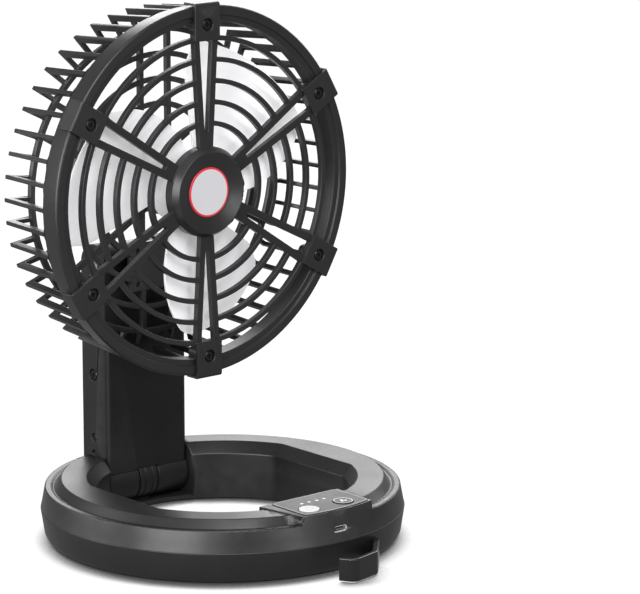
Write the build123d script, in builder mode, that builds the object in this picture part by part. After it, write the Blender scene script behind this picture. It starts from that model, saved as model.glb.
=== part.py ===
"""Folding rechargeable desk fan.

A round guarded fan head stands on a short arm. The arm folds forward into a ring-shaped base,
and the head turns over on the arm's other end, so that the fan packs into a flat drum.
The ring holds the cells, the control board, the two buttons and the charging socket.

Frame: origin at the centre of the ring on the surface that it stands on, +Z up, the fan blows
towards -Y. Millimetres.
"""

import os
from math import cos, radians, sin, sqrt

from build123d import *

# Fits
slip = 0.3          # gap between faces that move past each other
running = 0.05      # radial gap of a shaft in its bore
thread_gap = 0.05   # radial gap of a screw shank in its pilot hole
seat_gap = 0.1      # how far a screw head lies below the face around it
wall = 2.2          # moulded wall

# Base ring
base_radius = 95.0
ring_width = 29.7
base_seam_z = 16.3
seam_step = 0.3
base_bottom_inset = 3.6
base_bevel_height = 3.0
base_bevel_inset = 1.9
foot_proud = 0.8
foot_sunk = 1.0
foot_width = 4.0
foot_inset = 6.5
shoulder_inset = 2.4
shoulder_width = 3.0
shoulder_z = 27.5
cove_inset = 7.4
cove_z = 26.2
top_inset = 11.0
base_top_z = 31.2
bevel_width = 5.2
bevel_z = 25.2
side_flat_depth = 5.75
front_flat_depth = 4.8

# Control panel
panel_width = 52.0
panel_left_taper = 5.0
panel_right_taper = 1.0
panel_rise = 0.5
panel_roof = 2.4
label_width = 44.0
label_thickness = 0.4
label_offset_x = 2.5
label_edge = 0.8
label_margin = 1.0
label_corner = 3.0
button_radius = 5.2
button_spacing = 22.5
button_offset_x = 0.4
button_edge = 10.0
button_proud = 0.5
button_travel = 0.6
button_flange = 0.9
button_play = 0.1       # between a pressed stem and its switch
button_stem_radius = 2.0
led_count = 4
led_pitch = 5.0
led_radius = 0.9
led_edge = 10.2
board_thickness = 1.6
board_drop = 3.7
board_margin = 3.0
board_post_radius = 2.4
switch_size = 6.0
switch_height = 1.0
switch_corner = 0.5

# Charging socket
usb_width = 9.0
usb_height = 3.2
usb_depth = 7.4
usb_wall = 0.35
usb_tongue = 0.7
usb_recess = 0.6
usb_floor = 1.0

# Cells and base fasteners
cell_radius = 9.2
cell_length = 65.0
cell_gap = 4.05
cell_edge = 0.6
cradle_thickness = 2.0
cradle_height = 6.0
base_screw_inset = 15.0
base_boss_radius = 3.6
boss_pad = 1.0

# Hanging hook
hook_height = 12.0
hook_thickness = 3.2
hook_bend = 3.2
hook_root_x = 24.0
hook_root_reach = 3.6
hook_shoulder_x = 8.6
hook_shoulder_reach = 14.7
hook_corner_x = -8.0
hook_reach = 18.3
hook_tip_x = -12.0
hook_tip_return = 7.0
hook_tongue = 5.0

# Arm and its two hinges
arm_width = 52.8
arm_thickness = 22.0
head_drop = 44.85
cover_thickness = 1.7
hinge_inset = 21.0
hinge_lift = 0.5
barrel_radius = 12.5
knuckle_width = 11.4
pocket_gap = 1.2
base_pin_radius = 3.5
bracket_foot_front = 5.0
bracket_foot_back = 10.0
groove_offset = 2.4
groove_width = 0.5
groove_depth = 0.4
fork_gap = 24.6
head_knuckle_radius = 10.0
head_pin_radius = 3.0
bracket_plate = 2.5
plate_width = 32.0
plate_height = 24.0
plate_margin = 1.0
neck_width = 18.0
neck_height = 15.0
mount_inset = 3.0
washer_thickness = 0.6
pin_edge = 0.4
plate_edge = 0.5
side_screw_z = 75.0
side_screw_offset = 1.5
side_pip_z = 41.0
side_notch_z = 32.0
side_notch_depth = 1.2
side_screw_recess = 3.1
side_pip_recess = 1.9
screw_tab_depth = 4.0
screw_tab_height = 10.0

# Guard: depths are counted backwards from the front of the clips
guard_radius = 96.5
guard_draft = 4.5
clip_thickness = 2.0
rim_step = 1.0
rim_band = 5.2
rim_width = 8.5
rim_edge = 0.8
skirt_depth = 15.0
skirt_wall = 2.4
lip_wall = 2.0
lip_depth = 12.0
fin_count = 48
fin_thickness = 2.3
fin_height = 3.2
fin_reach = 52.0
fin_sunk = 0.2
rear_ring_inset = 16.5
rear_depth = 45.0
rear_bar = 3.0
rear_ring_pitch = 13.1
rear_ring_count = 4
rear_spoke_pairs = 6
rear_spoke_gap = 18.0
stow_gap = 0.8

# Front grille
clip_count = 6
clip_width = 16.2
clip_inner_inset = 18.0
clip_tab_thickness = 1.3
clip_round = 1.6
clip_recess = 0.8
clip_screw_sunk = 0.7
clip_tab_depth = 9.5
clip_screw_inset = 9.75
boss_radius = 4.2
boss_depth = 13.0
grille_front = 1.6
grille_depth = 3.2
spoke_root_width = 8.8
slot_start = 31.0
slot_root_width = 2.1
slot_tip_width = 8.1
arc_count = 5
arc_first = 35.5
arc_last_inset = 17.0
arc_width = 2.6
hub_radius = 23.6
hub_rim_radius = 21.3
hub_rim = 2.5             # how far the rim stands in front of the clips
hub_dish_radius = 14.0
hub_bevel = 1.0
hub_depth = 6.5
hub_wall = 2.0
hub_edge = 0.5
badge_radius = 13.0
badge_thickness = 0.8
badge_sunk = 0.6

# Impeller and motor
blade_count = 3
blade_tip_gap = 12.0
blade_thickness = 1.8
blade_hub_radius = 19.0
blade_hub_front = 9.5
blade_hub_depth = 15.5
blade_hub_wall = 2.0
blade_mid_depth = 17.5
blade_lead_root = -14.0    # the leading edge leans from this angle at the hub
blade_lead_middle = 1.0
blade_lead_tip = 23.0
blade_trail_root = 73.0
blade_trail_tip = 84.0
blade_middle_radius = 47.0
blade_corner = 12.0
blade_root_pitch = 24.0
blade_mid_pitch = 14.0
blade_tip_pitch = 14.5
blade_camber = 0.035
blade_start_angle = 0.0
shaft_radius = 1.5
motor_radius = 14.0
motor_wall = 1.0
motor_gap = 3.0
rotor_radius = 11.5
rotor_gap = 1.0
bushing_radius = 3.0
bushing_length = 2.6
cup_wall = 2.7
cup_floor = 1.8
cap_depth = 3.0
cap_spigot = 1.5
motor_screw_circle = 8.0
blade_boss_radius = 4.0

# Derived places
opening_radius = base_radius - ring_width
side_flat_x = opening_radius - side_flat_depth
cell_x = side_flat_x + wall + cell_gap + cell_radius
base_screw_circle = base_radius - base_screw_inset
front_flat_y = opening_radius - front_flat_depth
panel_top_z = base_top_z + panel_rise
floor_z = foot_proud + wall
hinge_z = floor_z + hinge_lift + barrel_radius
hinge_y = base_radius - hinge_inset
half_arm = arm_thickness / 2
arm_front_y = hinge_y - half_arm
arm_length = hinge_y + head_drop
head_hinge_z = hinge_z + arm_length
head_offset = shoulder_z + stow_gap + fin_reach - hinge_z
head_y = hinge_y - head_offset
head_z = head_hinge_z + head_drop
lip_radius = guard_radius - rim_width
arc_pitch = (guard_radius - arc_last_inset - arc_first) / (arc_count - 1)
rear_ring_radius = guard_radius - rear_ring_inset
clip_screw_circle = guard_radius - clip_screw_inset
blade_tip_radius = lip_radius - blade_tip_gap
motor_front = blade_hub_front + blade_hub_depth + motor_gap
rear_front = rear_depth - rear_bar / 2
rear_back = rear_depth + rear_bar / 2
motor_back = rear_back - cap_spigot - slip
cup_radius = motor_radius + slip + cup_wall
inner = opening_radius - 2 * side_flat_depth   # starts the ring sections well inside the opening

# Working planes of the head
head_centre = (0, head_y, head_z)
head_axis = Axis(head_centre, (0, 1, 0))
head_face = Plane(origin=head_centre, x_dir=(1, 0, 0), z_dir=(0, -1, 0))
head_section = Plane(origin=head_centre, x_dir=(1, 0, 0), z_dir=(0, 0, 1))


def at_depth(depth):
    """Plane across the head, the given distance behind the front of the clips."""
    return head_face.offset(-depth)


def radial_plane(angle):
    """Plane that holds the head's axis and a radius at an angle: x outwards, y backwards."""
    outwards = (cos(radians(angle)), 0, sin(radians(angle)))
    across = (-sin(radians(angle)), 0, cos(radians(angle)))
    return Plane(origin=head_centre, x_dir=outwards, z_dir=across)


def around(count, first=0.0):
    """Evenly spaced angles."""
    return [first + 360.0 * i / count for i in range(count)]


side_plane = Plane.YZ

# Screw sizes: head radius, head height, shank radius, shank length
base_screw = (3.0, 1.8, 1.4, 11.0)
bracket_screw = (2.6, 1.0, 1.3, 8.0)
board_screw = (2.0, 1.2, 0.9, 4.0)
clip_screw = (2.6, 1.4, 1.3, 9.0)
side_screw = (2.7, 1.2, 1.3, 7.0)
side_pip = (1.6, 0.8, 0.9, 7.0)
mount_screw = (2.3, 1.4, 1.2, 4.6)
motor_screw = (1.6, 1.0, 0.9, 2.6)
recess_width = 0.25
recess_depth = 0.6


def make_screw(size):
    """Pan-head cross-recess screw: the head stands on z = 0 and the shank points down."""
    head_radius, head_height, shank_radius, length = size
    with BuildPart() as screw:
        with BuildSketch():
            Circle(head_radius)
        extrude(amount=head_height)
        chamfer(screw.faces().sort_by(Axis.Z)[-1].edges(), head_height * 0.3)
        with BuildSketch(Plane.XY.offset(head_height)):
            Rectangle(head_radius * 1.1, head_radius * recess_width)
            Rectangle(head_radius * recess_width, head_radius * 1.1)
        extrude(amount=-head_height * recess_depth, mode=Mode.SUBTRACT)
        with BuildSketch():
            Circle(shank_radius)
        extrude(amount=-length)
    return screw.part


# The ring's outer form, its opening and its hollow
def opening_sketch(grow):
    """Outline of the opening, widened by a wall on every side."""
    with BuildSketch() as outline:
        Circle(opening_radius + grow)
        low_y = -(front_flat_y + grow)
        high_y = opening_radius + grow
        with Locations((0, (low_y + high_y) / 2)):
            Rectangle(2 * (side_flat_x + grow), high_y - low_y, mode=Mode.INTERSECT)
    return outline.sketch


def panel_outline(inset):
    """Plan of the control panel's block, drawn in by a wall; its sides close in towards the outer wall."""
    near_y = -(front_flat_y + inset)
    far_y = -(base_radius + inset)
    half = panel_width / 2 - inset
    with BuildSketch() as outline:
        with BuildLine():
            Polyline(
                (-half, near_y),
                (half, near_y),
                (half - panel_right_taper, far_y),
                (-half + panel_left_taper, far_y),
                close=True,
            )
        make_face()
    return outline.sketch


def pocket_box(grow):
    """Room for the arm's foot at the back of the ring, widened by a wall on every side."""
    width = arm_width + 2 * pocket_gap + 2 * grow
    back = hinge_y + barrel_radius + pocket_gap / 2 + grow
    front = inner
    low = floor_z - grow
    with BuildPart() as pocket:
        with Locations((0, (front + back) / 2, (low + 2 * base_top_z) / 2)):
            Box(width, back - front, 2 * base_top_z - low)
    return pocket.part


seam_radius = base_radius - seam_step
shoulder_radius = base_radius - shoulder_inset
cove_radius = base_radius - cove_inset
top_radius = base_radius - top_inset
lean = (seam_radius - shoulder_radius) / (shoulder_z - base_seam_z)
panel_radius = seam_radius - lean * (panel_top_z - base_seam_z)
hollow_top = base_top_z - wall
pocket = pocket_box(0)
pocket_shell = pocket_box(wall)

with BuildPart() as lower_hollow:
    with BuildSketch(Plane.XZ):
        with BuildLine():
            Polyline(
                (inner, floor_z),
                (base_radius - base_bevel_inset - wall, floor_z),
                (base_radius - wall, base_seam_z),
                (inner, base_seam_z),
                close=True,
            )
        make_face()
    revolve(axis=Axis.Z)
    with BuildSketch(Plane.XY.offset(floor_z)):
        add(opening_sketch(wall))
    extrude(amount=base_seam_z, mode=Mode.SUBTRACT)
    add(pocket_shell, mode=Mode.SUBTRACT)

with BuildPart() as upper_hollow:
    with BuildSketch(Plane.XZ):
        with BuildLine():
            Polyline(
                (inner, base_seam_z),
                (seam_radius - wall, base_seam_z),
                (shoulder_radius - wall, shoulder_z - wall),
                (cove_radius - wall / 2, cove_z - wall),
                (top_radius - wall / 2, hollow_top),
                (inner, hollow_top),
                close=True,
            )
        make_face()
    revolve(axis=Axis.Z)
    with BuildSketch(Plane.XY.offset(base_seam_z)):
        add(opening_sketch(bevel_width + wall / 2))
    extrude(amount=base_top_z, mode=Mode.SUBTRACT)
    add(pocket_shell, mode=Mode.SUBTRACT)

with BuildPart() as panel_hollow:
    with BuildSketch(Plane.XZ):
        with BuildLine():
            Polyline(
                (front_flat_y / 2, base_seam_z),
                (seam_radius - wall, base_seam_z),
                (panel_radius - wall, panel_top_z - panel_roof),
                (front_flat_y / 2, panel_top_z - panel_roof),
                close=True,
            )
        make_face()
    revolve(axis=Axis.Z)
    with BuildSketch():
        add(panel_outline(wall))
    extrude(amount=2 * base_top_z, mode=Mode.INTERSECT)

# Places on the ring's floor
screw_spots = [
    (base_screw_circle * cos(radians(a)), base_screw_circle * sin(radians(a))) for a in around(4, 45.0)
]
head_seat_z = floor_z
pad_z = floor_z + wall
cell_z = floor_z + cell_radius + slip / 2
foot_outer = base_radius - foot_inset
foot_inner = foot_outer - foot_width
foot_top = foot_proud + foot_sunk
bracket_seat = foot_proud + bracket_screw[1] + seat_gap
bracket_y = hinge_y + (bracket_foot_back - bracket_foot_front) / 2
bracket_reach = (bracket_foot_front + bracket_foot_back) / 4
bracket_spots = [(0, bracket_y - bracket_reach), (0, bracket_y + bracket_reach)]
cradle_low = side_flat_x + wall
cradle_high = cell_x + cell_radius
hook_wall_y = -sqrt((base_radius - base_bevel_inset) ** 2 - hook_root_x**2)

# Hanging hook: a bent strap with a tongue that goes through the ring's outer wall
hook_out_y = -(base_radius + hook_reach)
hook_shoulder_y = -(base_radius + hook_shoulder_reach)
hook_path = [
    (hook_root_x, hook_wall_y + hook_tongue),
    (hook_root_x, hook_wall_y - hook_root_reach),
    (hook_shoulder_x, hook_shoulder_y),
    (hook_corner_x, hook_out_y),
    (hook_tip_x, hook_out_y + hook_tip_return),
]
with BuildPart() as hanging_hook:
    with BuildSketch(Plane.XY.offset(foot_proud)):
        with BuildLine():
            FilletPolyline(*hook_path, radius=hook_bend)
        trace(line_width=hook_thickness)
    extrude(amount=hook_height)
    with BuildSketch():
        Circle(base_radius - base_bottom_inset)
    extrude(amount=floor_z, mode=Mode.SUBTRACT)

# Lower half of the base ring, with cradles for the cells
with BuildPart() as base_lower_shell:
    with BuildSketch(Plane.XZ):
        with BuildLine():
            Polyline(
                (inner, foot_proud),
                (base_radius - base_bottom_inset, foot_proud),
                (base_radius - base_bevel_inset, foot_proud + base_bevel_height),
                (base_radius, base_seam_z),
                (inner, base_seam_z),
                close=True,
            )
        make_face()
    revolve(axis=Axis.Z)
    with BuildSketch():
        add(opening_sketch(0))
    extrude(amount=base_seam_z, mode=Mode.SUBTRACT)
    add(lower_hollow.part, mode=Mode.SUBTRACT)
    add(pocket, mode=Mode.SUBTRACT)
    for side in (-1, 1):
        for along in (-cell_length / 4, cell_length / 4):
            middle = side * (cradle_low + cradle_high) / 2
            with Locations((middle, along, floor_z + cradle_height / 2)):
                Box(cradle_high - cradle_low, cradle_thickness, cradle_height)
        with BuildSketch(Plane.XZ):
            with Locations((side * cell_x, cell_z)):
                Circle(cell_radius + slip / 2)
        extrude(amount=cell_length / 2, both=True, mode=Mode.SUBTRACT)
    with BuildSketch(Plane.XY.offset(floor_z)):
        with Locations(*screw_spots):
            Circle(base_boss_radius + boss_pad)
    extrude(amount=pad_z - floor_z)
    with BuildSketch():
        with Locations(*screw_spots):
            Circle(base_screw[2] + slip)
    extrude(amount=pad_z, mode=Mode.SUBTRACT)
    with BuildSketch():
        with Locations(*screw_spots):
            Circle(base_screw[0] + slip)
    extrude(amount=head_seat_z, mode=Mode.SUBTRACT)
    with BuildSketch():
        Circle(foot_outer)
        Circle(foot_inner, mode=Mode.SUBTRACT)
    extrude(amount=foot_top, mode=Mode.SUBTRACT)
    with BuildSketch():
        with Locations(*bracket_spots):
            Circle(bracket_screw[2] + thread_gap)
    extrude(amount=floor_z, mode=Mode.SUBTRACT)
    with BuildSketch():
        with Locations(*bracket_spots):
            Circle(bracket_screw[0] + slip)
    extrude(amount=bracket_seat, mode=Mode.SUBTRACT)
    add(hanging_hook.part, mode=Mode.SUBTRACT)

# Upper half of the base ring, with the control panel's block
label_depth = panel_radius - front_flat_y - label_edge
label_y = label_depth / 2 - panel_radius
button_y = button_edge - panel_radius
button_spots = [(button_offset_x + s * button_spacing / 2, button_y) for s in (-1, 1)]
led_y = -(front_flat_y + label_edge + led_edge)
led_spots = [(button_offset_x + (i - (led_count - 1) / 2) * led_pitch, led_y) for i in range(led_count)]
roof_z = panel_top_z - panel_roof
board_top = roof_z - board_drop
board_bottom = board_top - board_thickness
board_width = panel_width - 2 * (panel_left_taper + wall + slip)
board_front = front_flat_y + wall + slip
board_back = panel_radius - wall - board_margin
post_x = board_width / 2 - board_post_radius
post_spots = [(s * post_x, -(board_front + board_post_radius)) for s in (-1, 1)]
usb_z = board_bottom - usb_height / 2
usb_mouth = seam_radius - lean * (usb_z - base_seam_z) - usb_recess
usb_back = usb_mouth - usb_depth

with BuildPart() as panel_block:
    with BuildSketch(Plane.XZ):
        with BuildLine():
            Polyline(
                (front_flat_y / 2, base_seam_z),
                (seam_radius, base_seam_z),
                (panel_radius, panel_top_z),
                (front_flat_y / 2, panel_top_z),
                close=True,
            )
        make_face()
    revolve(axis=Axis.Z)
    with BuildSketch():
        add(panel_outline(0))
    extrude(amount=2 * base_top_z, mode=Mode.INTERSECT)

with BuildPart() as base_upper_shell:
    with BuildSketch(Plane.XZ) as ring_section:
        with BuildLine():
            Polyline(
                (inner, base_seam_z),
                (seam_radius, base_seam_z),
                (shoulder_radius, shoulder_z),
                (shoulder_radius - shoulder_width, shoulder_z),
                (cove_radius, cove_z),
                (top_radius, base_top_z),
                (inner, base_top_z),
                close=True,
            )
        make_face()
        rim_corners = ring_section.vertices().filter_by(lambda v: v.X > inner + 1 and v.Y > base_seam_z + 1)
        fillet(rim_corners, shoulder_width * 0.3)
    revolve(axis=Axis.Z)
    with BuildSketch(Plane.XY.offset(base_seam_z)):
        add(opening_sketch(0))
    extrude(amount=base_top_z, mode=Mode.SUBTRACT)
    with BuildSketch(Plane.XY.offset(bevel_z)):
        add(opening_sketch(0))
    with BuildSketch(Plane.XY.offset(base_top_z)):
        add(opening_sketch(bevel_width))
    loft(ruled=True, mode=Mode.SUBTRACT)
    add(panel_block.part)
    add(upper_hollow.part, mode=Mode.SUBTRACT)
    add(panel_hollow.part, mode=Mode.SUBTRACT)
    add(pocket, mode=Mode.SUBTRACT)
    with BuildSketch(Plane.XY.offset(pad_z)):
        with Locations(*screw_spots):
            Circle(base_boss_radius)
    extrude(amount=hollow_top + wall / 2 - pad_z)
    with BuildSketch(Plane.XY.offset(pad_z)):
        with Locations(*screw_spots):
            Circle(base_screw[2] + thread_gap)
    extrude(amount=base_screw[3], mode=Mode.SUBTRACT)
    with BuildSketch(Plane.XY.offset(board_top)):
        with Locations(*post_spots):
            Circle(board_post_radius)
    extrude(amount=board_drop + panel_roof / 2)
    with BuildSketch(Plane.XY.offset(board_top)):
        with Locations(*post_spots):
            Circle(board_screw[2] + thread_gap)
    extrude(amount=board_screw[3], mode=Mode.SUBTRACT)
    with BuildSketch(Plane.XY.offset(roof_z)):
        with Locations(*button_spots):
            Circle(button_radius + slip)
        with Locations(*led_spots):
            Circle(led_radius + running)
    extrude(amount=2 * panel_roof, mode=Mode.SUBTRACT)
    with BuildSketch(Plane.XZ.offset(usb_back)):
        with Locations((0, usb_z)):
            SlotOverall(usb_width + 2 * running, usb_height + 2 * running)
    extrude(amount=2 * usb_depth, mode=Mode.SUBTRACT)

# Pieces in and on the base ring
with BuildPart() as foot_ring:
    with BuildSketch():
        Circle(foot_outer)
        Circle(foot_inner, mode=Mode.SUBTRACT)
    extrude(amount=foot_top)

with BuildPart() as base_screws:
    with Locations(*[Location((x, y, head_seat_z), (180, 0, 0)) for x, y in screw_spots]):
        add(make_screw(base_screw))

with BuildPart() as battery_cells:
    for side in (-1, 1):
        with BuildSketch(Plane.XZ.offset(-cell_length / 2)):
            with Locations((side * cell_x, cell_z)):
                Circle(cell_radius)
        extrude(amount=cell_length)
    chamfer(battery_cells.edges().filter_by(GeomType.CIRCLE), cell_edge)

with BuildPart() as control_board:
    board_middle = -(board_front + board_back) / 2
    with Locations((0, board_middle, (board_top + board_bottom) / 2)):
        Box(board_width, board_back - board_front, board_thickness)
    with BuildSketch(Plane.XY.offset(board_top)):
        with Locations(*button_spots):
            RectangleRounded(switch_size, switch_size, switch_corner)
    extrude(amount=switch_height)
    with BuildSketch(Plane.XY.offset(board_top)):
        with Locations(*led_spots):
            Rectangle(2 * led_radius, led_radius)
    extrude(amount=switch_height)
    with BuildSketch(Plane.XY.offset(board_bottom)):
        with Locations(*post_spots):
            Circle(board_screw[2] + thread_gap)
    extrude(amount=board_thickness, mode=Mode.SUBTRACT)

with BuildPart() as board_screws:
    with Locations(*[Location((x, y, board_bottom), (180, 0, 0)) for x, y in post_spots]):
        add(make_screw((board_screw[0], board_screw[1], board_screw[2], board_screw[3] + board_thickness - slip)))

with BuildPart() as usb_socket:
    with BuildSketch(Plane.XZ.offset(usb_back)):
        with Locations((0, usb_z)):
            SlotOverall(usb_width, usb_height)
    extrude(amount=usb_depth)
    with BuildSketch(Plane.XZ.offset(usb_mouth)):
        with Locations((0, usb_z)):
            SlotOverall(usb_width - 2 * usb_wall, usb_height - 2 * usb_wall)
            Rectangle(usb_width - usb_height, usb_tongue, mode=Mode.SUBTRACT)
    extrude(amount=-(usb_depth - usb_floor), mode=Mode.SUBTRACT)

with BuildPart() as led_windows:
    with BuildSketch(Plane.XY.offset(roof_z)):
        with Locations(*led_spots):
            Circle(led_radius)
    extrude(amount=panel_roof + label_thickness)

with BuildPart() as panel_label:
    with BuildSketch(Plane.XY.offset(panel_top_z)) as label_outline:
        with Locations((label_offset_x, label_y)):
            Rectangle(label_width, label_depth)
        Circle(panel_radius - label_margin, mode=Mode.INTERSECT)
        fillet(label_outline.vertices(), label_corner)
        with Locations(*button_spots):
            Circle(button_radius + slip, mode=Mode.SUBTRACT)
        with Locations(*led_spots):
            Circle(led_radius + running, mode=Mode.SUBTRACT)
    extrude(amount=label_thickness)

def make_button(spot):
    """Push button: a round cap, a flange under the panel's roof and a stem down to its switch."""
    flange_top = roof_z - slip
    flange_bottom = flange_top - button_flange
    stem_bottom = board_top + switch_height + button_travel + button_play
    with BuildPart() as button:
        with BuildSketch(Plane.XY.offset(flange_bottom)):
            with Locations(spot):
                Circle(button_radius)
        extrude(amount=panel_top_z + label_thickness + button_proud - flange_bottom)
        fillet(button.faces().sort_by(Axis.Z)[-1].edges(), button_proud * 0.7)
        with BuildSketch(Plane.XY.offset(flange_bottom)):
            with Locations(spot):
                Circle(button_radius + 3 * slip)
        extrude(amount=button_flange)
        with BuildSketch(Plane.XY.offset(stem_bottom)):
            with Locations(spot):
                Circle(button_stem_radius)
        extrude(amount=flange_top - stem_bottom)
    return button.part


with BuildPart() as light_button:
    add(make_button(button_spots[0]))

with BuildPart() as fan_button:
    add(make_button(button_spots[1]))

# Base hinge: a middle knuckle on the ring, its pin and washers
half_knuckle = knuckle_width / 2
arm_knuckle_start = half_knuckle + washer_thickness + slip
with BuildPart() as base_hinge_bracket:
    with BuildSketch(side_plane):
        with Locations((hinge_y, hinge_z)):
            Circle(barrel_radius)
        with Locations((bracket_y, (floor_z + hinge_z) / 2)):
            Rectangle(bracket_foot_front + bracket_foot_back, hinge_z - floor_z)
        with Locations((hinge_y, hinge_z)):
            Circle(base_pin_radius + running, mode=Mode.SUBTRACT)
    extrude(amount=half_knuckle, both=True)
    for offset in (-groove_offset, groove_offset):
        with BuildSketch(side_plane.offset(offset - groove_width / 2)):
            with Locations((hinge_y, hinge_z)):
                Circle(barrel_radius + slip)
                Circle(barrel_radius - groove_depth, mode=Mode.SUBTRACT)
            with Locations((bracket_y, (floor_z + hinge_z) / 2)):
                Rectangle(bracket_foot_front + bracket_foot_back, hinge_z - floor_z, mode=Mode.SUBTRACT)
        extrude(amount=groove_width, mode=Mode.SUBTRACT)
    with BuildSketch(Plane.XY.offset(floor_z)):
        with Locations(*bracket_spots):
            Circle(bracket_screw[2] + thread_gap)
    extrude(amount=bracket_screw[3], mode=Mode.SUBTRACT)

with BuildPart() as bracket_screws:
    with Locations(*[Location((x, y, bracket_seat), (180, 0, 0)) for x, y in bracket_spots]):
        add(make_screw(bracket_screw))

with BuildPart() as base_hinge_pin:
    with BuildSketch(side_plane):
        with Locations((hinge_y, hinge_z)):
            Circle(base_pin_radius)
    extrude(amount=arm_width / 2 - wall / 2, both=True)
    chamfer(base_hinge_pin.edges().filter_by(GeomType.CIRCLE), pin_edge)

with BuildPart() as base_hinge_washers:
    for start in (half_knuckle, -half_knuckle - washer_thickness):
        with BuildSketch(side_plane.offset(start)):
            with Locations((hinge_y, hinge_z)):
                Circle(barrel_radius - wall)
                Circle(base_pin_radius + running, mode=Mode.SUBTRACT)
        extrude(amount=washer_thickness)

# Arm: a channel-shaped rear shell and a flat front cover
half_width = arm_width / 2
cover_inner_y = arm_front_y + cover_thickness
barrel_top = sqrt(barrel_radius**2 - half_arm**2)
cover_bottom_z = hinge_z + barrel_top
fork_floor = head_hinge_z - head_knuckle_radius - 2 * slip
arm_hollow_low = hinge_z + barrel_radius + 2 * wall
arm_hollow_high = fork_floor - wall
tab_inner_x = half_width - wall - running - screw_tab_depth
tab_back_y = hinge_y + half_arm / 2
side_screw_y = hinge_y + side_screw_offset
side_spots = [(side_screw_z, side_screw, side_screw_recess), (side_pip_z, side_pip, side_pip_recess)]

with BuildPart() as arm_body:
    with BuildSketch(side_plane):
        with Locations((hinge_y, (hinge_z + head_hinge_z) / 2)):
            Rectangle(arm_thickness, arm_length)
        with Locations((hinge_y, hinge_z)):
            Circle(barrel_radius)
        with Locations((hinge_y, head_hinge_z)):
            Circle(half_arm)
    extrude(amount=half_width, both=True)

with BuildPart() as cover_zone:
    zone_top = head_hinge_z + arm_thickness
    with Locations((0, cover_inner_y - arm_thickness / 2, (cover_bottom_z + zone_top) / 2)):
        Box(2 * arm_width, arm_thickness, zone_top - cover_bottom_z)

with BuildPart() as knuckle_room:
    with BuildSketch(side_plane):
        with Locations((hinge_y, hinge_z)):
            Circle(barrel_radius + slip)
        with Locations((hinge_y, hinge_z - barrel_radius)):
            Rectangle(2 * barrel_radius + 2 * slip, 2 * barrel_radius)
    extrude(amount=arm_knuckle_start, both=True)

with BuildPart() as fork_room:
    with Locations((0, hinge_y, fork_floor + arm_thickness)):
        Box(fork_gap, 2 * arm_thickness, 2 * arm_thickness)

with BuildPart() as arm_rear_shell:
    add(arm_body.part)
    add(cover_zone.part, mode=Mode.SUBTRACT)
    hollow_back = hinge_y + half_arm - wall
    with Locations((0, (arm_front_y + hollow_back) / 2, (arm_hollow_low + arm_hollow_high) / 2)):
        Box(
            arm_width - 2 * wall,
            hollow_back - arm_front_y,
            arm_hollow_high - arm_hollow_low,
            mode=Mode.SUBTRACT,
        )
    add(knuckle_room.part, mode=Mode.SUBTRACT)
    add(fork_room.part, mode=Mode.SUBTRACT)
    with BuildSketch(side_plane):
        with Locations((hinge_y, hinge_z)):
            Circle(base_pin_radius + running)
        with Locations((hinge_y, head_hinge_z)):
            Circle(head_pin_radius + running)
    extrude(amount=half_width, both=True, mode=Mode.SUBTRACT)
    for height, size, recess in side_spots:
        with BuildSketch(side_plane):
            with Locations((side_screw_y, height)):
                Circle(size[2] + thread_gap)
        extrude(amount=half_width, both=True, mode=Mode.SUBTRACT)
        for side in (-1, 1):
            with BuildSketch(side_plane.offset(side * half_width)):
                with Locations((side_screw_y, height)):
                    Circle(recess)
            extrude(amount=-side * (size[1] + slip), mode=Mode.SUBTRACT)
    for side in (-1, 1):
        with BuildSketch(side_plane.offset(side * half_width)):
            with Locations((side_screw_y, side_notch_z)):
                Circle(side_pip_recess)
        extrude(amount=-side * side_notch_depth, mode=Mode.SUBTRACT)

with BuildPart() as arm_front_cover:
    add(arm_body.part)
    add(cover_zone.part, mode=Mode.INTERSECT)
    long_edges = arm_front_cover.faces().sort_by(Axis.Y)[0].edges().filter_by(Axis.Z)
    chamfer(long_edges, cover_thickness * 0.9)
    add(knuckle_room.part, mode=Mode.SUBTRACT)
    add(fork_room.part, mode=Mode.SUBTRACT)
    for height, size, _ in side_spots:
        for side in (-1, 1):
            middle = (side * (tab_inner_x + screw_tab_depth / 2), (cover_inner_y + tab_back_y) / 2, height)
            with Locations(middle):
                Box(screw_tab_depth, tab_back_y - cover_inner_y, screw_tab_height)
        with BuildSketch(side_plane):
            with Locations((side_screw_y, height)):
                Circle(size[2] + thread_gap)
        extrude(amount=half_width, both=True, mode=Mode.SUBTRACT)

with BuildPart() as arm_screws:
    for height, size, _ in side_spots:
        for side in (-1, 1):
            seat = side * (half_width - size[1] - slip)
            with Locations(Location((seat, side_screw_y, height), (0, side * 90, 0))):
                add(make_screw(size))

with BuildPart() as head_hinge_pin:
    with BuildSketch(side_plane):
        with Locations((hinge_y, head_hinge_z)):
            Circle(head_pin_radius)
    extrude(amount=half_width - wall / 2, both=True)
    chamfer(head_hinge_pin.edges().filter_by(GeomType.CIRCLE), pin_edge)

# Rear guard: skirt, fins, rear rings and spokes, motor cup
draft = guard_draft / fin_reach
skirt_end_radius = guard_radius - draft * skirt_depth
fin_end_radius = guard_radius - guard_draft
rim_front = clip_thickness
lip_front = rim_front + rim_step
fin_start = skirt_depth - skirt_wall
fin_start_radius = guard_radius - draft * fin_start
cup_front = motor_front - cup_floor
mount_x = plate_width / 2 - mount_inset
mount_z = plate_height / 2 - mount_inset
mount_spots = [(sx * mount_x, -head_drop + sz * mount_z) for sx in (-1, 1) for sz in (-1, 1)]
rear_rings = [rear_ring_radius - i * rear_ring_pitch for i in range(rear_ring_count)]
panel_high_z = panel_top_z + label_thickness + button_proud
relief_depth = hinge_z + head_offset - panel_high_z - stow_gap
relief_width = panel_width + 4 * stow_gap

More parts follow.
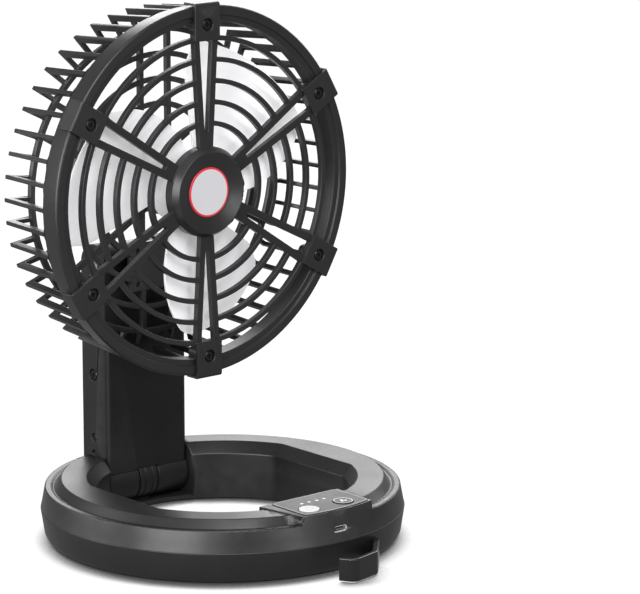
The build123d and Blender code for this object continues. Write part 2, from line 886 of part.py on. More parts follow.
with BuildPart() as rear_guard:
    with BuildSketch(head_section):
        with BuildLine():
            Polyline(
                (guard_radius - rim_edge, rim_front),
                (guard_radius, rim_front + rim_edge),
                (skirt_end_radius, skirt_depth),
                (skirt_end_radius - skirt_wall, skirt_depth),
                (guard_radius - skirt_wall, rim_front + skirt_wall),
                (lip_radius + lip_wall, rim_front + skirt_wall),
                (lip_radius + lip_wall, lip_depth),
                (lip_radius, lip_depth),
                (lip_radius, lip_front),
                (guard_radius - rim_band, lip_front),
                (guard_radius - rim_band, rim_front),
                close=True,
            )
        make_face()
    revolve(axis=head_axis)
    with BuildSketch(*[radial_plane(a) for a in around(fin_count)]):
        with BuildLine():
            Polyline(
                (fin_start_radius - fin_sunk, fin_start),
                (fin_end_radius, fin_reach),
                (rear_ring_radius, rear_back),
                (rear_ring_radius, rear_front),
                (fin_end_radius - fin_height, fin_reach - fin_height * 1.5),
                (fin_start_radius - fin_sunk - fin_height, fin_start),
                close=True,
            )
        make_face()
    extrude(amount=fin_thickness / 2, both=True)
    with BuildSketch(at_depth(rear_front)):
        for radius in rear_rings:
            with BuildSketch(mode=Mode.PRIVATE) as ring:
                Circle(radius + rear_bar / 2)
                Circle(radius - rear_bar / 2, mode=Mode.SUBTRACT)
            add(ring.sketch)
        bar_start = sqrt(cup_radius**2 - (rear_spoke_gap / 2) ** 2) - rear_bar / 2
        bar_end = sqrt(rear_ring_radius**2 - (rear_spoke_gap / 2) ** 2)
        for offset in (-rear_spoke_gap / 2, rear_spoke_gap / 2):
            with PolarLocations(0, rear_spoke_pairs, 90):
                with Locations(((bar_start + bar_end) / 2, offset)):
                    Rectangle(bar_end - bar_start, rear_bar)
        with Locations((0, -head_drop)):
            Rectangle(plate_width + 2 * plate_margin, plate_height + 2 * plate_margin)
    extrude(amount=-rear_bar)
    with BuildSketch(at_depth(cup_front)):
        Circle(cup_radius)
    extrude(amount=-(rear_back - cup_front))
    with BuildSketch(at_depth(motor_front)):
        Circle(motor_radius + slip)
    extrude(amount=-(rear_back - motor_front), mode=Mode.SUBTRACT)
    with BuildSketch(at_depth(relief_depth)):
        with Locations((0, -guard_radius)):
            Rectangle(relief_width, 2 * (guard_radius - front_flat_y + stow_gap))
    extrude(amount=-fin_reach, mode=Mode.SUBTRACT)
    with BuildSketch(at_depth(lip_front)):
        with PolarLocations(clip_screw_circle, clip_count, 90):
            Circle(boss_radius)
    extrude(amount=-(boss_depth - lip_front))
    with BuildSketch(at_depth(lip_front)):
        with PolarLocations(clip_screw_circle, clip_count, 90):
            Circle(clip_screw[2] + thread_gap)
    extrude(amount=-clip_screw[3], mode=Mode.SUBTRACT)
    with BuildSketch(at_depth(cup_front)):
        Circle(bushing_radius + slip)
        with PolarLocations(motor_screw_circle, 2):
            Circle(motor_screw[2] + thread_gap)
    extrude(amount=-cup_floor, mode=Mode.SUBTRACT)
    with BuildSketch(at_depth(rear_front)):
        with Locations(*mount_spots):
            Circle(mount_screw[2] + thread_gap)
    extrude(amount=-rear_bar, mode=Mode.SUBTRACT)

# Front grille: clips, spokes with wedge slots, arcs and a dished hub
clip_outer = guard_radius + slip + clip_tab_thickness
clip_inner = guard_radius - clip_inner_inset
spoke_tip = clip_inner + boss_radius * 0.9
spoke_root = hub_radius - hub_wall / 2
clip_seat = clip_screw[1] + clip_screw_sunk


def wedge(start, start_width, end, end_width):
    """Flat wedge along x from one radius to another."""
    with BuildSketch() as shape:
        with BuildLine():
            Polyline(
                (start, -start_width / 2),
                (end, -end_width / 2),
                (end, end_width / 2),
                (start, start_width / 2),
                close=True,
            )
        make_face()
    return shape.sketch


def on_clip_rim(edge):
    """True for the outermost front edge of a clip."""
    place = edge.center()
    radius = sqrt(place.X**2 + (place.Z - head_z) ** 2)
    return radius > clip_outer - slip and abs(place.Y - head_y) < slip


with BuildPart() as clip_set:
    with BuildSketch(at_depth(0)):
        with PolarLocations((clip_inner + clip_outer) / 2, clip_count, 90):
            Rectangle(clip_outer - clip_inner, clip_width)
    extrude(amount=-clip_thickness)
    with BuildSketch(at_depth(0)):
        with PolarLocations(clip_outer - clip_tab_thickness / 2, clip_count, 90):
            Rectangle(clip_tab_thickness, clip_width)
    extrude(amount=-clip_tab_depth)
    fillet(clip_set.edges().filter_by(on_clip_rim), clip_round)

with BuildPart() as front_grille:
    with BuildSketch(at_depth(grille_front)):
        for i in range(arc_count):
            middle = arc_first + i * arc_pitch
            with BuildSketch(mode=Mode.PRIVATE) as arc:
                Circle(middle + arc_width / 2)
                Circle(middle - arc_width / 2, mode=Mode.SUBTRACT)
            add(arc.sketch)
        with PolarLocations(0, clip_count, 90):
            add(wedge(spoke_root, spoke_root_width, spoke_tip, clip_width))
        with PolarLocations(0, clip_count, 90):
            add(wedge(slot_start, slot_root_width, clip_inner, slot_tip_width), mode=Mode.SUBTRACT)
    extrude(amount=-grille_depth)
    with BuildSketch(head_section) as hub_section:
        with BuildLine():
            Polyline(
                (0, 0),
                (hub_dish_radius, 0),
                (hub_rim_radius, -hub_rim),
                (hub_radius, hub_bevel),
                (hub_radius, hub_depth),
                (hub_radius - hub_wall, hub_depth),
                (hub_radius - hub_wall, hub_bevel + hub_wall),
                (hub_dish_radius, hub_wall),
                (0, hub_wall),
                close=True,
            )
        make_face()
        for corner in ((hub_radius, hub_bevel, 0), (hub_rim_radius, -hub_rim, 0)):
            fillet(hub_section.vertices().sort_by_distance(corner)[0], hub_edge)
    revolve(axis=head_axis)
    with BuildSketch(at_depth(0)):
        Circle(badge_radius)
    extrude(amount=-badge_sunk, mode=Mode.SUBTRACT)
    add(clip_set.part)
    with BuildSketch(at_depth(0)):
        with PolarLocations(clip_screw_circle, clip_count, 90):
            Circle(boss_radius)
    extrude(amount=-lip_front)
    with BuildSketch(at_depth(0)):
        with PolarLocations(clip_screw_circle, clip_count, 90):
            Circle(clip_screw[0] + clip_recess)
    extrude(amount=-clip_seat, mode=Mode.SUBTRACT)
    with BuildSketch(at_depth(0)):
        with PolarLocations(clip_screw_circle, clip_count, 90):
            Circle(clip_screw[2] + thread_gap)
    extrude(amount=-lip_front, mode=Mode.SUBTRACT)

with BuildPart() as grille_screws:
    places = PolarLocations(clip_screw_circle, clip_count, 90).local_locations
    with Locations(*[at_depth(clip_seat).location * place for place in places]):
        add(make_screw(clip_screw))

with BuildPart() as hub_badge:
    with BuildSketch(at_depth(badge_sunk)):
        Circle(badge_radius - running)
    extrude(amount=badge_thickness)
    chamfer(hub_badge.faces().sort_by(Axis.Y)[0].edges(), badge_thickness * 0.2)

# Head hinge: a knuckle on a plate behind the rear guard
head_half_knuckle = fork_gap / 2 - slip - washer_thickness
plate_back_y = head_y + rear_back + bracket_plate
with BuildPart() as head_hinge_bracket:
    with BuildSketch(side_plane):
        with Locations((hinge_y, head_hinge_z)):
            Circle(head_knuckle_radius)
    extrude(amount=head_half_knuckle, both=True)
    with Locations((0, (plate_back_y + hinge_y) / 2, head_hinge_z)):
        Box(neck_width, hinge_y - plate_back_y, neck_height)
    with Locations((0, plate_back_y - bracket_plate / 2, head_hinge_z)):
        Box(plate_width, bracket_plate, plate_height)
    fillet(head_hinge_bracket.faces().sort_by(Axis.Y)[0].edges().filter_by(Axis.Y, reverse=True), plate_edge)
    with BuildSketch(side_plane):
        with Locations((hinge_y, head_hinge_z)):
            Circle(head_pin_radius + running)
    extrude(amount=head_half_knuckle, both=True, mode=Mode.SUBTRACT)
    with BuildSketch(at_depth(rear_back)):
        with Locations(*mount_spots):
            Circle(mount_screw[2] + thread_gap)
    extrude(amount=-bracket_plate, mode=Mode.SUBTRACT)

with BuildPart() as head_hinge_washers:
    for start in (head_half_knuckle, -head_half_knuckle - washer_thickness):
        with BuildSketch(side_plane.offset(start)):
            with Locations((hinge_y, head_hinge_z)):
                Circle(head_knuckle_radius - wall / 2)
                Circle(head_pin_radius + running, mode=Mode.SUBTRACT)
        extrude(amount=washer_thickness)

with BuildPart() as head_bracket_screws:
    seats = [Location((x, plate_back_y, head_z + y), (-90, 0, 0)) for x, y in mount_spots]
    with Locations(*seats):
        add(make_screw(mount_screw))

# Motor
with BuildPart() as motor_can:
    with BuildSketch(at_depth(motor_front)):
        Circle(motor_radius)
    extrude(amount=-(motor_back - motor_front))
    chamfer(motor_can.faces().sort_by(Axis.Y)[0].edges(), motor_wall / 2)
    with BuildSketch(at_depth(motor_front + motor_wall)):
        Circle(motor_radius - motor_wall)
    extrude(amount=-(motor_back - motor_front), mode=Mode.SUBTRACT)
    with BuildSketch(at_depth(motor_front)):
        Circle(bushing_radius)
        with PolarLocations(motor_screw_circle, 2):
            Circle(motor_screw[2] + thread_gap)
    extrude(amount=-motor_wall, mode=Mode.SUBTRACT)

with BuildPart() as motor_end_plate:
    with BuildSketch(at_depth(motor_back)):
        Circle(motor_radius - motor_wall)
        Circle(bushing_radius, mode=Mode.SUBTRACT)
    extrude(amount=1.5 * motor_wall)

with BuildPart() as motor_bushings:
    for start in (motor_front, motor_back - bushing_length):
        with BuildSketch(at_depth(start)):
            Circle(bushing_radius)
            Circle(shaft_radius + running, mode=Mode.SUBTRACT)
        extrude(amount=-bushing_length)

with BuildPart() as motor_screws:
    places = PolarLocations(motor_screw_circle, 2).local_locations
    with Locations(*[at_depth(cup_front).location * place for place in places]):
        add(make_screw(motor_screw))

with BuildPart() as motor_rear_cap:
    with BuildSketch(at_depth(rear_back)):
        Circle(cup_radius)
    extrude(amount=-cap_depth)
    fillet(motor_rear_cap.faces().sort_by(Axis.Y)[-1].edges(), cap_depth * 0.4)
    with BuildSketch(at_depth(rear_back)):
        Circle(motor_radius + slip - running)
        Circle(motor_radius - motor_wall, mode=Mode.SUBTRACT)
    extrude(amount=cap_spigot)

with BuildPart() as motor_shaft:
    shaft_front = blade_hub_front + blade_hub_wall
    with BuildSketch(at_depth(shaft_front)):
        Circle(shaft_radius)
    extrude(amount=-(motor_back - shaft_front))

with BuildPart() as motor_rotor:
    rotor_front = motor_front + bushing_length + rotor_gap
    rotor_back = motor_back - bushing_length - rotor_gap
    with BuildSketch(at_depth(rotor_front)):
        Circle(rotor_radius)
        Circle(shaft_radius, mode=Mode.SUBTRACT)
    extrude(amount=-(rotor_back - rotor_front))

# Impeller: three broad twisted blades on a cup-shaped hub
blade_inner = blade_hub_radius - blade_hub_wall / 2
blade_lean = (blade_lead_root + blade_trail_tip) / 2
root_chord = 2.4 * blade_inner         # the slabs are wider than the outline that cuts them
mid_chord = 1.2 * blade_tip_radius
tip_chord = 1.5 * blade_tip_radius
blade_stations = [
    (blade_inner / 2, root_chord, blade_root_pitch),
    (blade_tip_radius / 2, mid_chord, blade_mid_pitch),
    (blade_tip_radius + blade_thickness, tip_chord, blade_tip_pitch),
]


def polar(radius, angle):
    """Point in the head's plane."""
    return (radius * cos(radians(angle)), radius * sin(radians(angle)))


def blade_plane(angle, radius, pitch):
    """Plane across a blade at a radius: x along the pitched chord, z outwards."""
    outwards = Vector(cos(radians(angle)), 0, sin(radians(angle)))
    around_axis = Vector(-sin(radians(angle)), 0, cos(radians(angle)))
    along = around_axis * cos(radians(pitch)) + Vector(0, 1, 0) * sin(radians(pitch))
    middle = Vector(*head_centre) + outwards * radius + Vector(0, 1, 0) * blade_mid_depth
    return Plane(origin=middle, x_dir=along, z_dir=outwards)


with BuildSketch() as blade_outline:
    with BuildLine():
        ThreePointArc(
            polar(blade_inner, blade_lead_root),
            polar(blade_middle_radius, blade_lead_middle),
            polar(blade_tip_radius, blade_lead_tip),
        )
        ThreePointArc(
            polar(blade_tip_radius, blade_lead_tip),
            polar(blade_tip_radius, (blade_lead_tip + blade_trail_tip) / 2),
            polar(blade_tip_radius, blade_trail_tip),
        )
        Line(polar(blade_tip_radius, blade_trail_tip), polar(blade_inner, blade_trail_root))
        Line(polar(blade_inner, blade_trail_root), polar(blade_inner, blade_lead_root))
    make_face()
    tip_corners = blade_outline.vertices().filter_by(lambda v: v.X**2 + v.Y**2 > blade_middle_radius**2)
    fillet(tip_corners, blade_corner)
    Circle(blade_inner, mode=Mode.SUBTRACT)


def make_blade(angle):
    """One blade: a twisted slab, cut to the outline and turned to its place."""
    half = blade_thickness / 2
    with BuildPart() as blade:
        for radius, chord, pitch in blade_stations:
            rise = blade_camber * chord
            end = chord / 2
            with BuildSketch(blade_plane(angle + blade_lean, radius, pitch)):
                with BuildLine():
                    ThreePointArc((-end, half), (0, rise + half), (end, half))
                    Line((end, half), (end, -half))
                    ThreePointArc((end, -half), (0, rise - half), (-end, -half))
                    Line((-end, -half), (-end, half))
                make_face()
        loft()
        with BuildSketch(at_depth(0)):
            add(blade_outline.sketch, rotation=angle)
        extrude(amount=-rear_front, mode=Mode.INTERSECT)
    return blade.part


with BuildPart() as fan_blades:
    with BuildSketch(at_depth(blade_hub_front)):
        Circle(blade_hub_radius)
    extrude(amount=-blade_hub_depth)
    fillet(fan_blades.faces().sort_by(Axis.Y)[0].edges(), blade_hub_wall)
    with BuildSketch(at_depth(blade_hub_front + blade_hub_wall)):
        Circle(blade_hub_radius - blade_hub_wall)
        Circle(blade_boss_radius, mode=Mode.SUBTRACT)
    extrude(amount=-blade_hub_depth, mode=Mode.SUBTRACT)
    with BuildSketch(at_depth(shaft_front)):
        Circle(shaft_radius)
    extrude(amount=-blade_hub_depth, mode=Mode.SUBTRACT)
    for angle in around(blade_count, blade_start_angle):
        add(make_blade(angle))

# One file for each piece
pieces = {
    "base_lower_shell": base_lower_shell,
    "base_upper_shell": base_upper_shell,
    "foot_ring": foot_ring,
    "base_screws": base_screws,
    "battery_cells": battery_cells,
    "control_board": control_board,
    "board_screws": board_screws,
    "usb_socket": usb_socket,
    "led_windows": led_windows,
    "panel_label": panel_label,
    "hanging_hook": hanging_hook,
    "light_button": light_button,
    "fan_button": fan_button,
    "base_hinge_bracket": base_hinge_bracket,
    "bracket_screws": bracket_screws,
    "base_hinge_pin": base_hinge_pin,
    "base_hinge_washers": base_hinge_washers,
    "arm_rear_shell": arm_rear_shell,
    "arm_front_cover": arm_front_cover,
    "arm_screws": arm_screws,
    "head_hinge_pin": head_hinge_pin,
    "rear_guard": rear_guard,
    "front_grille": front_grille,
    "grille_screws": grille_screws,
    "hub_badge": hub_badge,
    "head_hinge_bracket": head_hinge_bracket,
    "head_hinge_washers": head_hinge_washers,
    "head_bracket_screws": head_bracket_screws,
    "motor_can": motor_can,
    "motor_end_plate": motor_end_plate,
    "motor_bushings": motor_bushings,
    "motor_screws": motor_screws,
    "motor_rear_cap": motor_rear_cap,
    "motor_shaft": motor_shaft,
    "motor_rotor": motor_rotor,
    "fan_blades": fan_blades,
}
os.makedirs("parts", exist_ok=True)
for label, piece in pieces.items():
    piece.part.label = label
    export_step(piece.part, f"parts/{label}.step")
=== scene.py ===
"""Looks of a folding desk fan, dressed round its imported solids.

A guarded fan head stands on a short hinged arm over a ring-shaped base. Each sub-assembly is a
class that softens the moulded edges of its solids, adds its printed marks and gives every piece
a procedural finish. Metres, in the frame of the solids: +Z up, the fan blows towards -Y.
"""

import logging
import math
from collections.abc import Callable, Iterable
from dataclasses import dataclass, field, replace
from enum import Enum

import bmesh
import bpy
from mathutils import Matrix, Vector


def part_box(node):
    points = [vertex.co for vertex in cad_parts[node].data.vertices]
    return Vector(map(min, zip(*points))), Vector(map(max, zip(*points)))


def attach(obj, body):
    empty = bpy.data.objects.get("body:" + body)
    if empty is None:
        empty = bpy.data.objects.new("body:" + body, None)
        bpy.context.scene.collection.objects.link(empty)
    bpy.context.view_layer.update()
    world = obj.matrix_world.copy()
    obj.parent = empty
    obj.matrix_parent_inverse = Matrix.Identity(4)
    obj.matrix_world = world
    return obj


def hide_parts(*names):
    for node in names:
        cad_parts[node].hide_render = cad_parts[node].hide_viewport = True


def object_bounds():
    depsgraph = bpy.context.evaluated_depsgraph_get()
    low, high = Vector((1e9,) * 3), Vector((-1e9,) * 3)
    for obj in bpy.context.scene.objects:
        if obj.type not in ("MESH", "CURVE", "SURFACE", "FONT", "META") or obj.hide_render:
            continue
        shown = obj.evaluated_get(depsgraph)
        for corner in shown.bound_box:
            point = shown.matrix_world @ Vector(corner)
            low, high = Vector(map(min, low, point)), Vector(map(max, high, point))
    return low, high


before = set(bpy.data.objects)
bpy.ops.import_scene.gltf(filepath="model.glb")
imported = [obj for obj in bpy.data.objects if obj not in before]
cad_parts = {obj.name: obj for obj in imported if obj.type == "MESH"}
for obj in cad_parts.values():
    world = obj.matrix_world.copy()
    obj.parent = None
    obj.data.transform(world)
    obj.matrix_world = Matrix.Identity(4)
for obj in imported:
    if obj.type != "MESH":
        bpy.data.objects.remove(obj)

log = logging.getLogger("desk_fan")

Colour = tuple[float, float, float]
Point = tuple[float, float]
Span = tuple[float, float]

MM = 0.001
CAD_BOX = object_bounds()

PURE_WHITE = (1.0, 1.0, 1.0, 1.0)
DUST_GREY = (0.32, 0.31, 0.3)
PLASTIC_IOR = 1.49
CLOUD_SPAN = (0.3, 0.7)               # what cloudy noise mostly keeps between
EDGE_LIGHT_LIFT = 0.05                    # colour of a worn edge with painted highlight: this plus the gain times the finish's own
EDGE_LIGHT_GAIN = 1.4
SAME_POINT = 0.002 * MM               # points nearer than this are one
FLAT_TURN = math.radians(0.6)         # faces that turn by less are one flat face
SHARP_TURN = math.radians(50.0)       # edges that turn by more are shaded sharp


class Body(str, Enum):
    """The bodies that pieces ride on."""

    BASE = "base"
    LIGHT_BUTTON = "light_button"
    FAN_BUTTON = "fan_button"
    ARM = "arm"
    HEAD = "head"
    IMPELLER = "impeller"


class Slot(str, Enum):
    """Names of the record's material slots for the moulded and printed pieces; the script gives no piece one.
    """

    SHELL = "black_shell"
    GLOSS = "black_gloss"
    FILM = "panel_film"
    WHITE = "white_button"
    RUBBER = "foot_rubber"
    BLADE = "blade_plastic"


class Bench:
    """Short hand for building one node tree."""

    def __init__(self, tree: bpy.types.NodeTree) -> None:
        """Starts on the tree that the nodes go into."""
        self.tree = tree

    def node(self, kind: str, **settings: object) -> bpy.types.Node:
        """Adds a node.

        Args:
            kind: The node's type, without the ShaderNode in front.
            settings: Properties of the node to set.

        Returns:
            The new node.
        """
        made = self.tree.nodes.new(kind if kind.startswith("Node") else "ShaderNode" + kind)
        for name, value in settings.items():
            setattr(made, name, value)
        return made

    def feed(self, target: bpy.types.NodeSocket, value: object) -> None:
        """Links a socket to an input, or sets the input to a plain value.

        Args:
            target: The input socket.
            value: Another node's output socket, or a number or colour.
        """
        if isinstance(value, bpy.types.NodeSocket):
            self.tree.links.new(value, target)
        else:
            target.default_value = value

    def maths(self, operation: str, *values: object, clamp: bool = False) -> bpy.types.NodeSocket:
        """Works out one number.

        Args:
            operation: The Math node's operation.
            values: Its inputs, sockets or numbers.
            clamp: Whether the result is kept between 0 and 1.

        Returns:
            The result's socket.
        """
        made = self.node("Math", operation=operation, use_clamp=clamp)
        for target, value in zip(made.inputs, values):
            self.feed(target, value)
        return made.outputs[0]

    def remap(self, value: object, span: Span, target: Span = (0.0, 1.0)) -> bpy.types.NodeSocket:
        """Moves a number from one range to another and keeps it there.

        Args:
            value: The number's socket.
            span: The old range.
            target: The new range.

        Returns:
            The result's socket.
        """
        made = self.node("MapRange", clamp=True)
        for socket, given in zip(made.inputs, (value, *span, *target)):
            self.feed(socket, given)
        return made.outputs[0]

    def blend(self, share: object, first: object, second: object) -> bpy.types.NodeSocket:
        """Mixes two colours.

        Args:
            share: How much of the second colour shows, 0 to 1.
            first: Colour at 0.
            second: Colour at 1.

        Returns:
            The mixed colour's socket.
        """
        made = self.node("Mix", data_type="RGBA", clamp_factor=True)
        self.feed(made.inputs["Factor"], share)
        for name, value in (("A", first), ("B", second)):
            target = next(s for s in made.inputs if s.name == name and s.type == "RGBA")
            self.feed(target, (*value, 1.0) if isinstance(value, tuple) else value)
        return next(s for s in made.outputs if s.type == "RGBA")

    def noise(self, place: bpy.types.NodeSocket, scale: object, detail: float) -> bpy.types.NodeSocket:
        """Cloudy noise.

        Args:
            place: Coordinates.
            scale: Features to the metre.
            detail: Number of finer octaves.

        Returns:
            The noise value's socket.
        """
        made = self.node("TexNoise")
        self.feed(made.inputs["Vector"], place)
        self.feed(made.inputs["Scale"], scale)
        made.inputs["Detail"].default_value = detail
        return made.outputs[0]

    def place(self) -> bpy.types.NodeSocket:
        """Coordinates of the surface in the piece's own frame."""
        return self.node("TexCoord").outputs["Object"]


class Effects:
    """Surface effects that several finishes share, each one node group."""

    def __init__(self) -> None:
        """Builds the groups once."""
        self.grain = self._group("mould_grain", "Height", Scale=1500.0)
        self._fill_grain()
        self.marks = self._group("handling_marks", "Roughness", Roughness=0.4, Spread=0.05)
        self._fill_marks()
        self.tone = self._group("tone_drift", "Colour", Colour=(0.5, 0.5, 0.5, 1.0), Amount=0.1)
        self._fill_tone()
        self.edges = self._group("edge_wear_and_highlight", "Mask", Amount=0.5)
        self._fill_edge_wear_and_highlight()
        self.dust = self._group("settled_dust", "Mask", Amount=0.1)
        self._fill_dust()

    @staticmethod
    def _group(name: str, output: str, **inputs: object) -> bpy.types.NodeTree:
        """Makes an empty group that takes coordinates and some values.

        Args:
            name: The group's name.
            output: Name of what it puts out, a colour if it is called Colour and else a number.
            inputs: Names of its inputs beside Place, with a number or colour that each starts with.

        Returns:
            The group.
        """
        tree = bpy.data.node_groups.new(name, "ShaderNodeTree")
        tree.interface.new_socket("Place", in_out="INPUT", socket_type="NodeSocketVector")
        for label, value in inputs.items():
            kind = "NodeSocketColor" if isinstance(value, tuple) else "NodeSocketFloat"
            socket = tree.interface.new_socket(label, in_out="INPUT", socket_type=kind)
            socket.default_value = value
        kind = "NodeSocketColor" if output == "Colour" else "NodeSocketFloat"
        tree.interface.new_socket(output, in_out="OUTPUT", socket_type=kind)
        return tree

    @staticmethod
    def _open(tree: bpy.types.NodeTree) -> tuple[Bench, dict[str, bpy.types.NodeSocket], bpy.types.Node]:
        """Starts filling a group.

        Args:
            tree: The group.

        Returns:
            A bench on the group, its inputs by name, and its output node.
        """
        bench = Bench(tree)
        start = bench.node("NodeGroupInput")
        return bench, {s.name: s for s in start.outputs if s.name}, bench.node("NodeGroupOutput")

    @staticmethod
    def _weigh(
        bench: Bench, first: bpy.types.NodeSocket, second: bpy.types.NodeSocket, share: float
    ) -> bpy.types.NodeSocket:
        """Adds two numbers by weight.

        Args:
            bench: The group's bench.
            first: Number with the given share.
            second: Number with the rest.
            share: Weight of the first, 0 to 1.

        Returns:
            The sum's socket.
        """
        rest = bench.maths("MULTIPLY", second, 1.0 - share)
        return bench.maths("ADD", bench.maths("MULTIPLY", first, share), rest)

    def _fill_grain(self) -> None:
        """Spark texture of a mould: fine pits over a slower ripple."""
        bench, given, end = self._open(self.grain)
        pits = bench.noise(given["Place"], given["Scale"], detail=2.0)
        slower = bench.maths("MULTIPLY", given["Scale"], 0.12)
        ripple = bench.noise(given["Place"], slower, detail=1.0)
        bench.feed(end.inputs["Height"], self._weigh(bench, pits, ripple, share=0.75))

    def _fill_marks(self) -> None:
        """Faint smears that make gloss uneven."""
        bench, given, end = self._open(self.marks)
        smear = bench.noise(given["Place"], scale=28.0, detail=5.0)
        fine = bench.noise(given["Place"], scale=420.0, detail=2.0)
        mixed = self._weigh(bench, smear, fine, share=0.7)
        swing = bench.maths("MULTIPLY", bench.remap(mixed, CLOUD_SPAN, (-1.0, 1.0)), given["Spread"])
        bench.feed(end.inputs["Roughness"], bench.maths("ADD", given["Roughness"], swing, clamp=True))

    def _fill_tone(self) -> None:
        """Slow drift of a colour's lightness."""
        bench, given, end = self._open(self.tone)
        cloud = bench.noise(given["Place"], scale=17.0, detail=3.0)
        swing = bench.remap(cloud, CLOUD_SPAN, (-1.0, 1.0))
        lift = bench.maths("ADD", 1.0, bench.maths("MULTIPLY", swing, given["Amount"]))
        shade = bench.node("HueSaturation")
        bench.feed(shade.inputs["Color"], given["Colour"])
        bench.feed(shade.inputs["Value"], lift)
        bench.feed(end.inputs["Colour"], shade.outputs[0])

    def _fill_edge_wear_and_highlight(self) -> None:
        """Mask of convex edges, broken up a little, which are painted lighter as wear and as painted
        highlight.
        """
        bench, given, end = self._open(self.edges)
        sharp = bench.remap(bench.node("NewGeometry").outputs["Pointiness"], (0.52, 0.62))
        rubbing = bench.noise(given["Place"], scale=160.0, detail=3.0)
        broken = bench.remap(rubbing, (0.3, 0.6), (0.4, 1.0))
        mixed = bench.maths("MULTIPLY", sharp, broken)
        bench.feed(end.inputs["Mask"], bench.maths("MULTIPLY", mixed, given["Amount"]))

    def _fill_dust(self) -> None:
        """Mask of fine dust on what faces up."""
        bench, given, end = self._open(self.dust)
        split = bench.node("SeparateXYZ")
        bench.feed(split.inputs[0], bench.node("TexCoord").outputs["Normal"])
        up = bench.remap(split.outputs["Z"], (0.3, 1.0))
        specks = bench.remap(bench.noise(given["Place"], scale=900.0, detail=3.0), (0.45, 0.75))
        film = bench.remap(bench.noise(given["Place"], scale=40.0, detail=4.0), (0.35, 0.7), (0.2, 1.0))
        mixed = bench.maths("MULTIPLY", bench.maths("ADD", film, specks), up)
        bench.feed(end.inputs["Mask"], bench.maths("MULTIPLY", mixed, given["Amount"], clamp=True))


@dataclass(frozen=True)
class Finish:
    """How one material looks; lengths of its texture are in millimetres.

    Attributes:
        name: The material's name.
        colour: Its colour.
        roughness: Its mean roughness.
        specular: Strength of its clear reflection, 0.5 for most plastics.
        metallic: 1 for bare metal.
        transmission: Share of light that passes straight through.
        glow: Even painted glow that the material gives off, standing in for light scattered through from
            behind, as a share of white.
        grain_size: Size of the texture's features.
        grain_depth: Depth of the texture.
        spread: How far handling moves the roughness.
        drift: How far the tone wanders.
        edge: How much convex edges are painted lighter, partly as wear and partly as painted highlight.
        dust: How much dust has settled.
    """

    name: str
    colour: Colour
    roughness: float
    specular: float = 0.5
    metallic: float = 0.0
    transmission: float = 0.0
    glow: float = 0.0
    grain_size: float = 0.6
    grain_depth: float = 0.02
    spread: float = 0.06
    drift: float = 0.12
    edge: float = 0.25
    dust: float = 0.05

    def paint(self, bench: Bench, place: bpy.types.NodeSocket) -> object:
        """Colour before drift, edges and dust.

        Args:
            bench: The material's bench.
            place: Coordinates of the surface.

        Returns:
            A colour, or the socket of a pattern.
        """
        return self.colour

    def build(self, effects: Effects) -> bpy.types.Material:
        """Makes the material.

        Args:
            effects: The shared node groups.

        Returns:
            The material.
        """
        material = bpy.data.materials.new(self.name)
        material.use_nodes = True
        bench = Bench(material.node_tree)
        shader = next(n for n in material.node_tree.nodes if n.type == "BSDF_PRINCIPLED")
        place = bench.place()
        pattern = self.paint(bench, place)
        colour = self._use(bench, effects.tone, Place=place, Colour=pattern, Amount=self.drift)
        # Convex edges are blended towards a lighter colour: partly wear, partly a painted highlight.
        worn_and_lit_edges = self._use(bench, effects.edges, Place=place, Amount=self.edge)
        lighter = tuple(min(1.0, EDGE_LIGHT_LIFT + EDGE_LIGHT_GAIN * c) for c in self.colour)
        colour = bench.blend(worn_and_lit_edges, colour, lighter)
        settled = self._use(bench, effects.dust, Place=place, Amount=self.dust)
        bench.feed(shader.inputs["Base Color"], bench.blend(settled, colour, DUST_GREY))
        rough = self._use(bench, effects.marks, Place=place, Roughness=self.roughness, Spread=self.spread)
        bench.feed(shader.inputs["Roughness"], rough)
        features = 1.0 / (self.grain_size * MM)
        bump = bench.node("Bump")
        bump.inputs["Distance"].default_value = self.grain_depth * MM
        height = self._use(bench, effects.grain, Place=place, Scale=features)
        bench.feed(bump.inputs["Height"], height)
        bench.feed(shader.inputs["Normal"], bump.outputs[0])
        shader.inputs["Metallic"].default_value = self.metallic
        shader.inputs["Specular IOR Level"].default_value = self.specular
        shader.inputs["Transmission Weight"].default_value = self.transmission
        shader.inputs["IOR"].default_value = PLASTIC_IOR
        # Emission here is a painted glow, not a lamp; the blades use it in place of light scattered through
        # them.
        shader.inputs["Emission Color"].default_value = PURE_WHITE
        shader.inputs["Emission Strength"].default_value = self.glow
        return material

    @staticmethod
    def _use(bench: Bench, group: bpy.types.NodeTree, **values: object) -> bpy.types.NodeSocket:
        """Places a shared effect.

        Args:
            bench: The material's bench.
            group: The effect's group.
            values: Its inputs.

        Returns:
            The socket of what the effect puts out.
        """
        made = bench.node("Group", node_tree=group)
        for name, value in values.items():
            bench.feed(made.inputs[name], (*value, 1.0) if isinstance(value, tuple) else value)
        return made.outputs[0]


